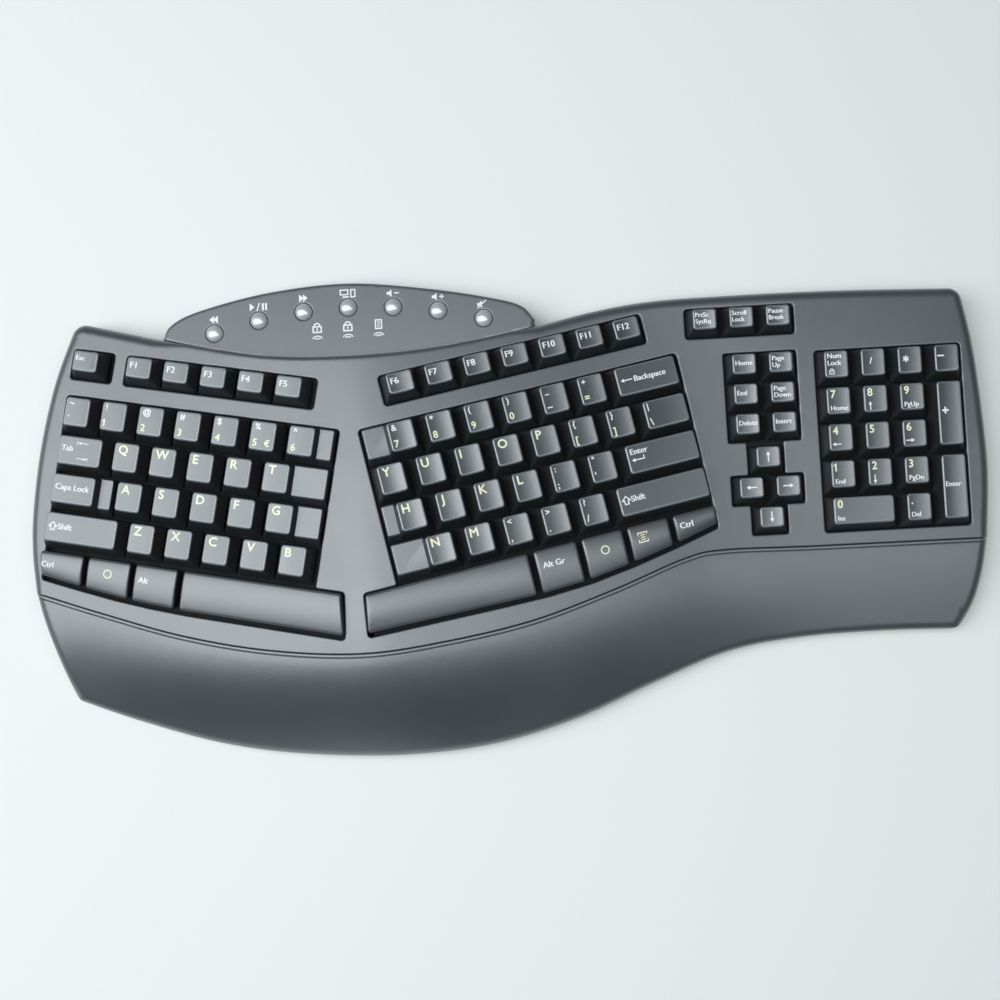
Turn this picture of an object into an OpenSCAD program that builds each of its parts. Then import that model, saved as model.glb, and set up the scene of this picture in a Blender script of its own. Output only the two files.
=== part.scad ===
// Ergonomic split keyboard with a tented key field, palm rest, media panel and number pad.
// Millimetres. +X to the right, +Y to the rear, +Z up. The origin is on the table under the middle.

/* [Key field] */
// Spacing of the main keys
key_pitch = 19.05; // [18:0.05:19.5]
// Spacing of the editing and number pad keys
pad_pitch = 18; // [17:0.05:18.4]
// Gap between the skirts of neighbouring keys
key_gap = 1; // [0.8:0.1:1.6]
// Height of a keycap from its skirt to its top
key_height = 8.2; // [7:0.1:10]
// Depth of a function key's skirt
function_depth = 15; // [13:0.1:16]
// Spacing of the short editing keys from row to row
short_pitch = 14.8; // [14:0.1:16]
// Inset of a keycap's top at each side
side_taper = 2.9; // [2:0.1:3.2]
// Inset of a keycap's top at the front
front_taper = 3.4; // [2:0.1:3.8]
// Inset of a keycap's top at the rear
rear_taper = 0.8; // [0.3:0.1:1.5]
// Depth of the finger dish in a keycap's top
dish_depth = 0.45; // [0.2:0.05:0.6]
// Wall of a keycap
cap_wall = 1.4; // [1:0.1:1.6]
// Depth of the step beside a raised keycap top
ledge_drop = 4.2; // [3:0.1:5]
// Drop of the bottom row's low slabs below the other key tops
slab_drop = 3; // [2:0.1:4]

/* [Split and tent] */
// Turn of each half about the vertical
split_angle = 11.4; // [6:0.1:14]
// Fall of each half to its side
tent_angle = 6.6; // [4:0.1:8]
// Slope of both halves from front to rear
half_slope = -1.8; // [-3:0.1:1]
// Distance of a half's reference key from the split's middle
half_ref_x = 20.6; // [19.5:0.1:26]
// Place of the reference key from front to rear
half_ref_y = 7.5; // [5:0.1:10]
// Height of a half's backplate under its reference key
half_lift = 22.9; // [21:0.1:30]
// Slope of the number pad from front to rear
pad_slope = 1.8; // [0:0.1:2.4]
// Distance of the number pad's middle from the split's middle
pad_reach = 264.5; // [262:0.1:268]
// Place of the number pad's middle from front to rear
pad_y = 26; // [24:0.1:28]
// Height of the number pad's backplate under its middle
pad_lift = 4.8; // [4.5:0.1:9]

/* [Mechanism] */
// Travel of a key
key_travel = 3.3; // [2.5:0.1:3.6]
// Travel of a media button
button_travel = 1.2; // [0.8:0.1:1.5]
// Diameter of a key's stem
stem_d = 4.6; // [4:0.1:4.8]
// Clearance of a sliding stem in its guide, all round
guide_clear = 0.3; // [0.25:0.01:0.4]
// Wall of a guide tower
guide_wall = 1.2; // [0.8:0.1:1.2]
// Height of a guide tower above its plate
guide_rise = 2.2; // [1:0.1:2.4]
// Thickness of a guide plate
plate_t = 1.6; // [1.2:0.1:1.6]
// Rubber sheet under the domes
sheet_t = 0.5; // [0.4:0.1:0.6]
// Switch foil
membrane_t = 0.3; // [0.2:0.05:0.4]
// Steel backplate
backplate_t = 0.8; // [0.6:0.1:1]

/* [Case] */
// Reach of the left edge from the split's middle
left_reach = 163.7; // [160:0.1:200]
// Reach of the right edge from the split's middle
right_reach = 311.7; // [309:0.1:375]
// Depth of the palm rest at the split
palm_depth = 52.5; // [42:0.5:65]
// Height of the palm rest's front lip
lip_z = 10.5; // [9.5:0.1:13]
// Wall of the shells
shell_wall = 2.2; // [1.8:0.1:2.4]
// Drop of the deck below the key tops
deck_drop = 6.5; // [5.5:0.1:7]
// Radius of the deck's rolled outer edge
edge_roll = 5; // [2:0.1:6]
// Half width of the rounded crown over the split
crown_r = 14; // [8:0.5:20]
// Radius of the outline's corners
corner_r = 7; // [3:0.5:10]
// Height of the line where shells and bottom case meet
part_z = 6; // [5.5:0.1:6.5]
// Thickness of the bottom case's floor
floor_t = 1.6; // [1.2:0.1:1.8]
// Gap along the seams between shells
seam_gap = 0.5; // [0.3:0.1:0.8]
// Margin of a key window round its keys
window_gap = 0.6; // [0.5:0.1:1]
// Corner radius of a key window
window_r = 1.8; // [1:0.1:3]
// Thickness of the rubber feet
rubber_t = 1; // [0.8:0.1:2]
// Diameter of the cord inlet in the rear wall
inlet_d = 3.2; // [2.5:0.1:3.6]

/* [Media panel] */
// Height of the panel's top at its buttons
panel_z = 18; // [16:0.1:20]
// Slope of the panel from front to rear
panel_slope = -4; // [-6:0.1:0]
// Diameter of a media button
button_d = 8.4; // [7:0.1:9]
// Clearance round a media button
button_clear = 0.3; // [0.25:0.01:0.4]
// Spacing of the media buttons
button_pitch = 22.4; // [18:0.1:23]
// Place of the middle media button from front to rear
button_y = 105.5; // [103:0.1:107]
// Radius of the arc that the media buttons follow
button_arc_r = 240; // [200:1:400]

/* [Folding feet] */
// Length of a folding foot from its pin
foot_len = 15; // [12:0.1:17]
// Width of a folding foot
foot_w = 40; // [30:0.5:44]
// Thickness of a folding foot
foot_t = 3; // [2.6:0.1:3.2]
// Diameter of a foot's hinge pin
pin_d = 2.4; // [2:0.05:2.6]
// Running clearance of the pin in its bore, all round
pin_clear = 0.06; // [0.02:0.01:0.1]
// Clearance round a folded foot in its pocket
foot_clear = 0.4; // [0.3:0.05:0.6]

/* [Hidden] */
$fn = 32;

cover_color = "#34373a";
key_color = "#26282a";
frame_color = "#1c1d1e";
rubber_color = "#c9cfd2";
steel_color = "#9aa0a4";
board_color = "#23603a";
metal_color = "#b9bcc0";

// The overall box is centred on the origin.
split_x = (left_reach - right_reach) / 2;
pad_x = split_x + pad_reach;
left_x = split_x - left_reach;
right_x = split_x + right_reach;
far = 400;

// Stack of the key mechanism, measured down from the key tops.
skirt_z = -key_height;
press_clear = 0.3;
plate_top = skirt_z - key_travel - press_clear;
plate_bottom = plate_top - plate_t;
stem_reach = 0.8;
stem_bottom = plate_bottom - stem_reach;
dome_gap = 0.2;
dome_top = stem_bottom - dome_gap;
sheet_top = stem_bottom - key_travel;
sheet_bottom = sheet_top - sheet_t;
membrane_bottom = sheet_bottom - membrane_t;
stack_bottom = membrane_bottom - backplate_t;
half_ref_z = half_lift - stack_bottom;
pad_z = pad_lift - stack_bottom;
guide_d = stem_d + 2 * guide_clear;
tower_d = guide_d + 2 * guide_wall;
dome_foot_d = 10;
dome_crown_d = 5.6;
// Rim under a guide plate's edge, which stands on the rubber sheet.
rim_w = 2;
floor_z = rubber_t;
floor_top = floor_z + floor_t;

// Key places. A half counts columns in key widths, with column 6.5 at its reference point, and
// rows from the number row, 0, to the letter row nearest the user, 3.
ref_column = 6.5;
ref_row = 1.5;
function_row = -1.33;
bottom_row = 3.64;
home_edge = -0.5;
outer_edge = 14.45;
left_ledge_edge = 6.82;
right_ledge_edge = 6.0;
caps_edge = 1.25;
caps_ledge = 0.27;
left_function = 1.46;
right_function = 7.29;
half_skirt = 0.5 - key_gap / (2 * key_pitch);

// Front edge of the low bottom row, as [column, row]. It follows the palm rest's seam.
left_front_edge = [[-0.46, 4.34], [0.85, 4.52], [2.1, 4.66], [3.4, 4.73], [7.7, 4.76]];
right_front_edge = [[5, 4.68], [9.4, 4.82], [10.7, 4.78], [11.9, 4.64], [13.15, 4.44], [14.35, 4.2]];

// Outline curves as [x, y]. Each is a smooth curve through a few points.
rear_line = [
    [left_x + 26, 106], [left_x + 53, 98.5], [split_x - 76, 89], [split_x - 38, 81],
    [split_x, 78.5], [split_x + 38, 80.5], [split_x + 78, 87], [split_x + 119, 96],
    [split_x + 149, 100], [split_x + 184, 100.8], [right_x - 73, 100.4], [right_x - 8.5, 98]
];
seam_line = [
    [left_x + 1.6, -27.5], [left_x + 38, -40.3], [split_x - 86, -53], [split_x - 44, -61.8],
    [split_x, -65.5], [split_x + 40, -62], [split_x + 82, -54.5], [split_x + 122, -42],
    [split_x + 158, -28.8], [split_x + 178, -25.6], [split_x + 224, -26.2], [right_x - 2.6, -26.8]
];
front_y = -65.5 - palm_depth;
front_line = [
    [left_x + 17.7, front_y + 36], [left_x + 48, front_y + 24], [split_x - 76, front_y + 11],
    [split_x - 36, front_y + 3.5], [split_x + 14, front_y], [split_x + 60, front_y + 3],
    [split_x + 102, front_y + 13.5], [split_x + 140, front_y + 28.5], [split_x + 178, front_y + 42],
    [split_x + 214, front_y + 47], [split_x + 254, front_y + 48], [right_x - 18.7, front_y + 47]
];
left_rear = [
    rear_line[0], [left_x + 13.7, 76], [left_x + 5.2, 43], [left_x + 0.7, 12], [left_x, -8], seam_line[0]
];
left_front = [seam_line[0], [left_x + 5.2, -42], [left_x + 11, -61], front_line[0]];
right_rear = [
    rear_line[11], [right_x - 3.6, 70], [right_x - 0.8, 35], [right_x, 5], seam_line[11]
];
right_front = [seam_line[11], [right_x - 5.8, -43], [right_x - 10.8, -58], front_line[11]];
panel_line = [
    [split_x - 94, 94.5], [split_x - 90, 101.5], [split_x - 76, 108], [split_x - 41, 115.5],
    [split_x - 1, 118], [split_x + 39, 113], [split_x + 70, 106.5], [split_x + 85, 101.5],
    [split_x + 91.5, 94]
];
panel_from = 1.49 / 11;
panel_to = 6.32 / 11;

// Smooth curve through the points of a list, at t from 0 to 1.
function spline(a, b, c, d, u) =
    0.5 * (2 * b + (c - a) * u + (2 * a - 5 * b + 4 * c - d) * u ^ 2 + (3 * b - a - 3 * c + d) * u ^ 3);
function curve(points, t) =
    let (spans = len(points) - 1)
    let (i = min(floor(t * spans), spans - 1))
    let (before = i > 0 ? points[i - 1] : 2 * points[0] - points[1])
    let (after = i < spans - 1 ? points[i + 2] : 2 * points[spans] - points[spans - 1])
    spline(before, points[i], points[i + 1], after, t * spans - i);
function trace(points, steps) = [for (k = [0:steps]) curve(points, k / steps)];
function reversed(list) = [for (k = [len(list) - 1:-1:0]) list[k]];
function trimmed(list) = [for (k = [0:len(list) - 2]) list[k]];

// Point of the patch between four curves that meet at its corners.
function patch(near, far_side, left, right, s, t) =
    (1 - t) * curve(near, s) + t * curve(far_side, s) + (1 - s) * curve(left, t) + s * curve(right, t)
    - (1 - s) * (1 - t) * near[0] - s * (1 - t) * near[len(near) - 1]
    - (1 - s) * t * far_side[0] - s * t * far_side[len(far_side) - 1];

// Height of the deck: two tented planes with a rounded crown, running into the number pad's plane.
blend_w = 5;
function smooth_max(a, b) = max(a, b) + max(blend_w - abs(a - b), 0) ^ 2 / (4 * blend_w);
function tented(x, y) =
    half_ref_z - deck_drop - tan(tent_angle) * (sqrt((x - split_x) ^ 2 + crown_r ^ 2) - half_ref_x)
    + tan(half_slope) * (y - half_ref_y);
function pad_level(y) = pad_z - deck_drop + tan(pad_slope) * (y - pad_y);
function deck_z(x, y) = x < split_x ? tented(x, y) : smooth_max(tented(x, y), pad_level(y));
function rolled(d, r) = d >= r ? 0 : r - sqrt(r ^ 2 - (r - d) ^ 2);
palm_power = 1.8;
function palm_z(x, y, t) = lip_z + (deck_z(x, y) - 0.4 - lip_z) * (1 - t ^ palm_power);

// Frames of the two halves, the number pad and the media panel.
module half(side) {
    translate([split_x + side * half_ref_x, half_ref_y, half_ref_z])
        rotate([half_slope, 0, 0])
            rotate([0, side * tent_angle, 0])
                rotate([0, 0, side * split_angle])
                    children();
}
module pad_frame() {
    translate([pad_x, pad_y, pad_z])
        rotate([pad_slope, 0, 0])
            children();
}
module panel_frame() {
    translate([split_x - 1, button_y, panel_z])
        rotate([panel_slope, 0, 0])
            children();
}
function at(column, row) = [(column - ref_column) * key_pitch, (ref_row - row) * key_pitch];
module key_at(side, column, row) {
    half(side)
        translate(at(column, row))
            children();
}
module pad_at(column, y) {
    pad_frame()
        translate([column * pad_pitch, y, 0])
            children();
}

// A tapered block: a front profile crossed with a side profile. Its top is centred on the origin.
module tapered(w, d, h, side, front, rear, lift) {
    translate([0, 0, lift])
        intersection() {
            rotate([90, 0, 0])
                linear_extrude(height = far, center = true)
                    polygon([[-w / 2 - side, -h], [w / 2 + side, -h], [w / 2, 0], [-w / 2, 0]]);
            rotate([90, 0, 90])
                linear_extrude(height = far, center = true)
                    polygon([[-d / 2 - front, -h], [d / 2 + rear, -h], [d / 2, 0], [-d / 2, 0]]);
        }
}
module stem(x, drop) {
    translate([x, 0, stem_bottom])
        cylinder(d = stem_d, h = -drop - cap_wall / 2 - stem_bottom);
}
// Places of the stems under a key: one, or three under a key wider than a key and a half.
wide_key = 1.6;
post_inset = 9.5;
function posts(w) = w > wide_key * key_pitch ? [-w / 2 + post_inset, 0, w / 2 - post_inset] : [0];

// Raised bar that marks a home key, near the front of its top.
bar_w = 4;
bar_d = 0.6;
bar_rise = 0.35;
bar_inset = 2.2;
module home_bar(top_d) {
    translate([-bar_w / 2, bar_inset - (top_d + bar_d) / 2, -dish_depth - slice])
        cube([bar_w, bar_d, bar_rise + slice]);
}

// A keycap for a cell of w by d. A ledge runs on past the cell at one side, a step lower.
ledge_ease = 0.5;
function top_depth(d) = d - key_gap - front_taper - rear_taper;
module keycap(w, d, ledge = 0, bar = false) {
    top_w = w - key_gap - 2 * side_taper;
    top_d = top_depth(d);
    dish_r = (top_w ^ 2 / 4 + dish_depth ^ 2) / (2 * dish_depth);
    inner_w = top_w - 2 * cap_wall;
    inner_d = top_d - 2 * cap_wall;
    ledge_side = ledge < 0 ? -1 : 1;
    ledge_w = abs(ledge) - key_gap / 2;
    difference() {
        union() {
            tapered(top_w, top_d, key_height, side_taper, front_taper, rear_taper, 0);
            if (ledge != 0)
                translate([ledge_side * (w / 2 + (ledge_w - key_gap) / 2 - side_taper / 2), 0, 0])
                    tapered(
                        ledge_w + side_taper, top_d + 2 * ledge_ease, key_height - ledge_drop,
                        ledge_ease, front_taper - ledge_ease, rear_taper - ledge_ease, -ledge_drop
                    );
        }
        tapered(inner_w, inner_d, key_height, side_taper, front_taper, rear_taper, -cap_wall);
        translate([0, 0, dish_r - dish_depth])
            rotate([90, 0, 0])
                cylinder(r = dish_r, h = far, center = true, $fn = 360);
    }
    if (bar)
        home_bar(top_d);
    for (x = posts(w))
        stem(x, 0);
}

// A low slab of the bottom row between two columns, with its front edge on the seam's curve. Its top rises
// from the rear to a ridge and falls away to the front.
slab_bevel = 1.1;
slab_bevel_h = 1.6;
slab_roof = 1.2;
slab_skirt = 1;
slab_ridge = 0.3;
slab_rear_drop = 0.5;
slab_front_drop = 1.8;
slab_steps = [for (k = [0:7]) k / 7];
slice = 0.1;
function slab_crown(v) =
    let (behind = max(slab_ridge - v, 0) / slab_ridge)
    let (ahead = max(v - slab_ridge, 0) / (1 - slab_ridge))
    -slab_drop - slab_rear_drop * behind ^ 2 - slab_front_drop * ahead ^ 2;
module slab_outline(from, to, edge, from_front, to_front) {
    polygon([
        at(from, bottom_row), at(to, bottom_row),
        at(to_front, lookup(to_front, edge)), at(from_front, lookup(from_front, edge))
    ]);
}
function slab_middle(from, to, edge) =
    (at(from, bottom_row) + at(to, bottom_row)
    + at(to, lookup(to, edge)) + at(from, lookup(from, edge))) / 4;
// Point of a slab's side at v from its rear, 0, to its front, 1, set in by dx and dy.
function slab_side(rear, front, edge, v, dx, dy) =
    (1 - v) * (at(rear, bottom_row) + [dx, -dy]) + v * (at(front, lookup(front, edge)) + [dx, dy]);
module slab_form(from, to, edge, from_front, to_front, inset, lower) {
    hull() {
        translate([0, 0, skirt_z - lower])
            linear_extrude(slab_skirt)
                offset(delta = -inset)
                    slab_outline(from, to, edge, from_front, to_front);
        for (v = slab_steps)
            for (step = [[0, slab_bevel_h], [slab_bevel, 0]]) {
                d = inset + step[0];
                a = slab_side(from, from_front, edge, v, d, d + slice);
                b = slab_side(to, to_front, edge, v, -d, d + slice);
                translate([0, 0, slab_crown(v) - lower - step[1] - slice])
                    linear_extrude(slice)
                        polygon([a, b, b + [0, slice], a + [0, slice]]);
            }
    }
}
module slab(side, from, to, edge, from_front, to_front) {
    middle = slab_middle(from, to, edge);
    half(side) {
        difference() {
            slab_form(from, to, edge, from_front, to_front, 0, 0);
            slab_form(from, to, edge, from_front, to_front, cap_wall, slab_roof);
        }
        for (x = posts((to - from) * key_pitch))
            translate(middle)
                stem(x, slab_drop);
    }
}
// The bottom row's slabs as [from, to, from at the front, to at the front].
left_slabs = [
    [-0.46, 0.76, -0.34, 0.76], [0.88, 2.04, 0.88, 2.04], [2.16, 3.3, 2.16, 3.3],
    [3.44, 7.56, 3.44, 7.78]
];
right_slabs = [
    [5.14, 9.34, 4.98, 9.34], [9.48, 10.62, 9.48, 10.62], [10.75, 11.84, 10.75, 11.84],
    [11.97, 13.07, 11.97, 13.07], [13.2, 14.37, 13.2, 14.33]
];
module left_slab(i) {
    k = left_slabs[i];
    slab(-1, k[0], k[1], left_front_edge, k[2], k[3]);
}
module right_slab(i) {
    k = right_slabs[i];
    slab(1, k[0], k[1], right_front_edge, k[2], k[3]);
}

// Every stem as [column, row] in key pitches, for the guides and domes of a half.
function wide_posts(from, to, row) =
    [for (x = posts((to - from) * key_pitch)) [(from + to) / 2 + x / key_pitch, row]];
function slab_posts(k, edge) =
    let (m = slab_middle(k[0], k[1], edge))
    [for (x = posts((k[1] - k[0]) * key_pitch))
        [(m[0] + x) / key_pitch + ref_column, ref_row - m[1] / key_pitch]];
left_posts = concat(
    [[0, function_row]],
    [for (i = [0:4]) [left_function + i, function_row]],
    [for (c = [0:6]) [c, 0]],
    wide_posts(home_edge, 1, 1), [for (i = [0:4]) [1.5 + i, 1]],
    wide_posts(home_edge, caps_edge - caps_ledge, 2), [for (i = [0:4]) [1.75 + i, 2]],
    wide_posts(home_edge, 1.75, 3), [for (i = [0:4]) [2.25 + i, 3]],
    [for (k = left_slabs) each slab_posts(k, left_front_edge)]
);
right_posts = concat(
    [for (i = [0:6]) [right_function + i, function_row]],
    [for (c = [7:12]) [c, 0]], wide_posts(12.5, outer_edge, 0),
    [for (i = [0:6]) [6.5 + i, 1]], wide_posts(13, outer_edge, 1),
    [for (i = [0:5]) [6.75 + i, 2]], wide_posts(12.25, outer_edge, 2),
    [for (i = [0:4]) [7.25 + i, 3]], wide_posts(11.75, outer_edge, 3),
    [for (k = right_slabs) each slab_posts(k, right_front_edge)]
);
// Number pad and editing keys as [column, y]: columns in pad pitches, y in millimetres.
print_y = 61.8;
editing_y = [for (i = [0:2]) 38.7 - i * short_pitch];
arrow_y = [for (i = [0:2]) -7.4 - i * short_pitch];
editing_cells = [for (y = editing_y) for (c = [-4, -3]) [c, y]];
digit_cells = concat(
    [for (c = [-1.5:1:1.5]) [c, 2 * pad_pitch]],
    [for (r = [1, 0, -1]) for (c = [-1.5:1:0.5]) [c, r * pad_pitch]],
    [[0.5, -2 * pad_pitch]]
);
pad_posts = concat(
    [for (c = [-5:-3]) [c, print_y]], editing_cells,
    [[-3.5, arrow_y[0]], [-4, arrow_y[1]], [-3, arrow_y[1]], [-3.5, arrow_y[2]]],
    digit_cells,
    [[1.5, pad_pitch / 2], [1.5, -1.5 * pad_pitch]],
    [for (x = posts(2 * pad_pitch)) [-1 + x / pad_pitch, -2 * pad_pitch]]
);
function half_spots(list) = [for (k = list) at(k[0], k[1])];
function pad_spots(list) = [for (k = list) [k[0] * pad_pitch, k[1]]];

// Plan shapes: the deck, the palm rest, the media panel and the whole case.
trace_steps = 44;
// The shells' corners are trimmed by a plan a little wider than their walls.
corner_margin = 0.4;
edge_steps = 12;
module deck_plan() {
    polygon(concat(
        trace(rear_line, trace_steps), trimmed(trace(right_rear, edge_steps)),
        reversed(trace(seam_line, trace_steps)), reversed(trimmed(trace(left_rear, edge_steps)))
    ));
}
module palm_plan() {
    polygon(concat(
        trace(seam_line, trace_steps), trimmed(trace(right_front, edge_steps)),
        reversed(trace(front_line, trace_steps)), reversed(trimmed(trace(left_front, edge_steps)))
    ));
}
panel_steps = 36;
module panel_plan(gap) {
    polygon(concat(
        trace(panel_line, panel_steps),
        [for (k = [0:panel_steps])
            curve(rear_line, panel_to + (panel_from - panel_to) * k / panel_steps) + [0, gap]]
    ));
}
module rounded(r) {
    offset(r = r)
        offset(delta = -r)
            children();
}
module body_plan(margin = 0) {
    rounded(corner_r)
        offset(delta = margin)
            union() {
                deck_plan();
                palm_plan();
            }
}
module case_plan() {
    union() {
        body_plan();
        panel_plan(-2);
    }
}

// A solid under a patch: a grid of heights on top and a flat base.
function grid_rim(n, m) = concat(
    [for (i = [0:n]) i * (m + 1)], [for (j = [1:m]) n * (m + 1) + j],
    [for (i = [n - 1:-1:0]) i * (m + 1) + m], [for (j = [m - 1:-1:1]) j]
);
function grid_faces(n, m, rim) =
    let (base = (n + 1) * (m + 1), count = len(rim))
    concat(
        [for (i = [0:n - 1]) for (j = [0:m - 1]) each
            let (a = i * (m + 1) + j)
            [[a, a + m + 2, a + 1], [a, a + m + 1, a + m + 2]]],
        [for (k = [0:count - 1]) each
            let (l = (k + 1) % count)
            [[rim[l], rim[k], base + k], [rim[l], base + k, base + l]]],
        [[for (k = [count - 1:-1:0]) base + k]]
    );
module grid_solid(rows, base_z) {
    n = len(rows) - 1;
    m = len(rows[0]) - 1;
    top = [for (row = rows) each row];
    rim = grid_rim(n, m);
    polyhedron(
        points = concat(top, [for (k = rim) [top[k][0], top[k][1], base_z]]),
        faces = grid_faces(n, m, rim), convexity = 10
    );
}
// Patch parameters: close together at the rolled edges, then even.
body_w = right_x - left_x;
body_d = 135;
rolled_steps = [0, 0.12, 0.45, 1];
outer_steps = 34;
inner_steps = 22;
function span(inset, size, roll, steps, both) =
    let (a = inset / size, b = 1 - inset / size, r = roll / size)
    concat(
        [for (k = rolled_steps) a + k * r],
        [for (k = [1:steps - 1]) a + r + (b - (both ? 2 : 1) * r - a) * k / steps],
        both ? [for (k = reversed(rolled_steps)) b - k * r] : [b]
    );
function deck_drop_at(s, t) =
    max(rolled(s * body_w, edge_roll), rolled((1 - s) * body_w, edge_roll), rolled(t * body_d, edge_roll));
module deck_block(inset, drop, base_z) {
    across = span(inset, body_w, edge_roll, inset > 0 ? inner_steps : outer_steps, true);
    along = span(inset, body_d, edge_roll, 9, false);
    grid_solid([for (s = across) [for (t = along)
        let (p = patch(rear_line, seam_line, left_rear, right_rear, s, t))
        [p[0], p[1], deck_z(p[0], p[1]) - deck_drop_at(s, t) - drop]
    ]], base_z);
}
palm_roll = 3;
function palm_drop_at(s, t) =
    max(
        rolled(s * body_w, edge_roll), rolled((1 - s) * body_w, edge_roll),
        rolled((1 - t) * palm_depth, palm_roll)
    );
module palm_block(inset, drop, base_z) {
    across = span(inset, body_w, edge_roll, inset > 0 ? inner_steps : outer_steps, true);
    along = [for (t = reversed(span(inset, palm_depth, palm_roll, 6, false))) 1 - t];
    grid_solid([for (s = across) [for (t = along)
        let (p = patch(seam_line, front_line, left_front, right_front, s, t))
        let (z = palm_z(p[0], p[1], t) - palm_drop_at(s, t) - drop)
        [p[0], p[1], max(z, base_z + 0.5)]
    ]], base_z);
}

// Key windows, cut square to the key field.
window_up = 14;
module window(x0, y0, x1, y1) {
    translate([0, 0, -window_up - deck_drop])
        hull()
            for (x = [x0 + window_r, x1 - window_r])
                for (y = [y0 + window_r, y1 - window_r])
                    translate([x, y, 0])
                        cylinder(r = window_r, h = 2 * window_up);
}
module half_window(from, to, row, rows, depth) {
    a = at(from, row);
    b = at(to, row + rows);
    top_d = top_depth(depth);
    window(
        a[0] - window_gap, b[1] - top_d / 2 - front_taper - window_gap,
        b[0] + window_gap, a[1] + top_d / 2 + rear_taper + window_gap
    );
}
module slab_window(list, edge) {
    translate([0, 0, -window_up - deck_drop])
        linear_extrude(2 * window_up)
            offset(r = window_gap)
                hull()
                    for (k = list)
                        slab_outline(k[0], k[1], edge, k[2], k[3]);
}
// Opening that joins a half's letter window to the window of its bottom row.
bridge_row = 3.4;
module window_bridge(from, to) {
    a = at(from, bottom_row);
    b = at(to, bridge_row);
    translate([a[0] - window_gap, a[1], -window_up - deck_drop])
        cube([b[0] - a[0] + 2 * window_gap, b[1] - a[1], 2 * window_up]);
}
module pad_window(from, to, y0, y1, depth) {
    reach = top_depth(depth) / 2;
    window(
        (from - 0.5) * pad_pitch - window_gap + key_gap / 2, y0 - reach - front_taper - window_gap,
        (to + 0.5) * pad_pitch + window_gap - key_gap / 2, y1 + reach + rear_taper + window_gap
    );
}
// The left half's function windows run on past the keys at their right ends.
left_lean = 2.4;
module windows() {
    lean = left_lean / key_pitch;
    left_from = home_edge + 0.5 - half_skirt;
    right_to = outer_edge - 0.5 + half_skirt;
    half(-1) {
        half_window(-half_skirt, half_skirt + lean, function_row, 0, function_depth);
        half_window(
            left_function - half_skirt, left_function + 4 + half_skirt + lean,
            function_row, 0, function_depth
        );
        half_window(left_from, left_ledge_edge, 0, 3, key_pitch);
        window_bridge(left_from, left_ledge_edge);
        slab_window(left_slabs, left_front_edge);
    }
    half(1) {
        half_window(
            right_function - half_skirt, right_function + 6 + half_skirt, function_row, 0, function_depth
        );
        half_window(right_ledge_edge, right_to, 0, 3, key_pitch);
        window_bridge(right_ledge_edge, right_to);
        slab_window(right_slabs, right_front_edge);
    }
    pad_frame() {
        pad_window(-5, -3, print_y, print_y, short_pitch);
        pad_window(-4, -3, editing_y[2], editing_y[0], short_pitch);
        pad_window(-3.5, -3.5, arrow_y[2], editing_y[2], short_pitch);
        pad_window(-4, -3, arrow_y[1], arrow_y[1], short_pitch);
        pad_window(-1.5, 1.5, -2 * pad_pitch, 2 * pad_pitch, pad_pitch);
    }
}

// Screws: [x, y] of those that hold the top cover and those that hold the palm rest.
cover_screws = [
    [split_x, 58], [split_x, -12], [split_x + 156, 91], [split_x + 174.5, 50], [right_x - 22, 86]
];
palm_screws = [
    [left_x + 53, -70], [split_x, -92], [split_x + 114, -74], [right_x - 52, -48]
];
screw_d = 2.6;
screw_head_d = 5;
screw_head_t = 1.4;
head_clear = 0.2;
screw_reach = 5;
boss_d = 7;
boss_draft = 1;
pilot_d = screw_d + 0.1;
pilot_depth = screw_reach + 0.6;
tall = 40;
module bosses(places) {
    for (p = places)
        translate([p[0], p[1], part_z])
            hull() {
                cylinder(d = boss_d, h = 1, $fn = 20);
                translate([0, 0, tall])
                    cylinder(d = boss_d + 2 * boss_draft, h = 1, $fn = 20);
            }
}
module pilots(places) {
    for (p = places)
        translate([p[0], p[1], part_z - 1])
            cylinder(d = pilot_d, h = pilot_depth + 1, $fn = 16);
}
// Ribs inside the palm rest, from the seam's wall to the front wall.
palm_ribs = [for (k = [0.12:0.16:0.92]) k];
module palm_rib(k) {
    hull()
        for (p = [curve(seam_line, k), curve(front_line, k)])
            translate([p[0], p[1], part_z])
                cylinder(d = rib_w, h = tall, $fn = 8);
}

module top_cover() {
    color(cover_color)
        intersection() {
            difference() {
                union() {
                    difference() {
                        deck_block(0, 0, part_z);
                        deck_block(shell_wall, shell_wall, part_z - 1);
                    }
                    intersection() {
                        bosses(cover_screws);
                        deck_block(shell_wall / 2, shell_wall / 2, part_z - 1);
                    }
                }
                windows();
                pilots(cover_screws);
            }
            linear_extrude(far)
                body_plan(corner_margin);
        }
}

module palm_rest() {
    color(cover_color)
        intersection() {
            difference() {
                union() {
                    difference() {
                        palm_block(0, 0, part_z);
                        palm_block(shell_wall, shell_wall, part_z - 1);
                    }
                    intersection() {
                        union() {
                            bosses(palm_screws);
                            for (k = palm_ribs)
                                palm_rib(k);
                        }
                        palm_block(shell_wall / 2, shell_wall / 2, part_z - 1);
                    }
                }
                seam_cut();
                bead_groove();
                pilots(palm_screws);
            }
            linear_extrude(far)
                body_plan(corner_margin);
        }
}
// A band in front of the seam line, from one distance to another.
module seam_band(near, away) {
    seam = trace(seam_line, trace_steps);
    polygon(concat([for (p = seam) p - [0, near]], reversed([for (p = seam) p - [0, away]])));
}
// The seam: the palm rest stands back from the deck's front wall.
module seam_cut() {
    linear_extrude(far)
        seam_band(-far, seam_gap);
}
// A groove sets off a bead along the palm rest's rear edge.
bead_w = 1.4;
groove_w = 0.5;
groove_depth = 0.6;
module bead_groove() {
    difference() {
        linear_extrude(far)
            seam_band(seam_gap + bead_w, seam_gap + bead_w + groove_w);
        palm_block(0, groove_depth, part_z - 1);
    }
}

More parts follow.
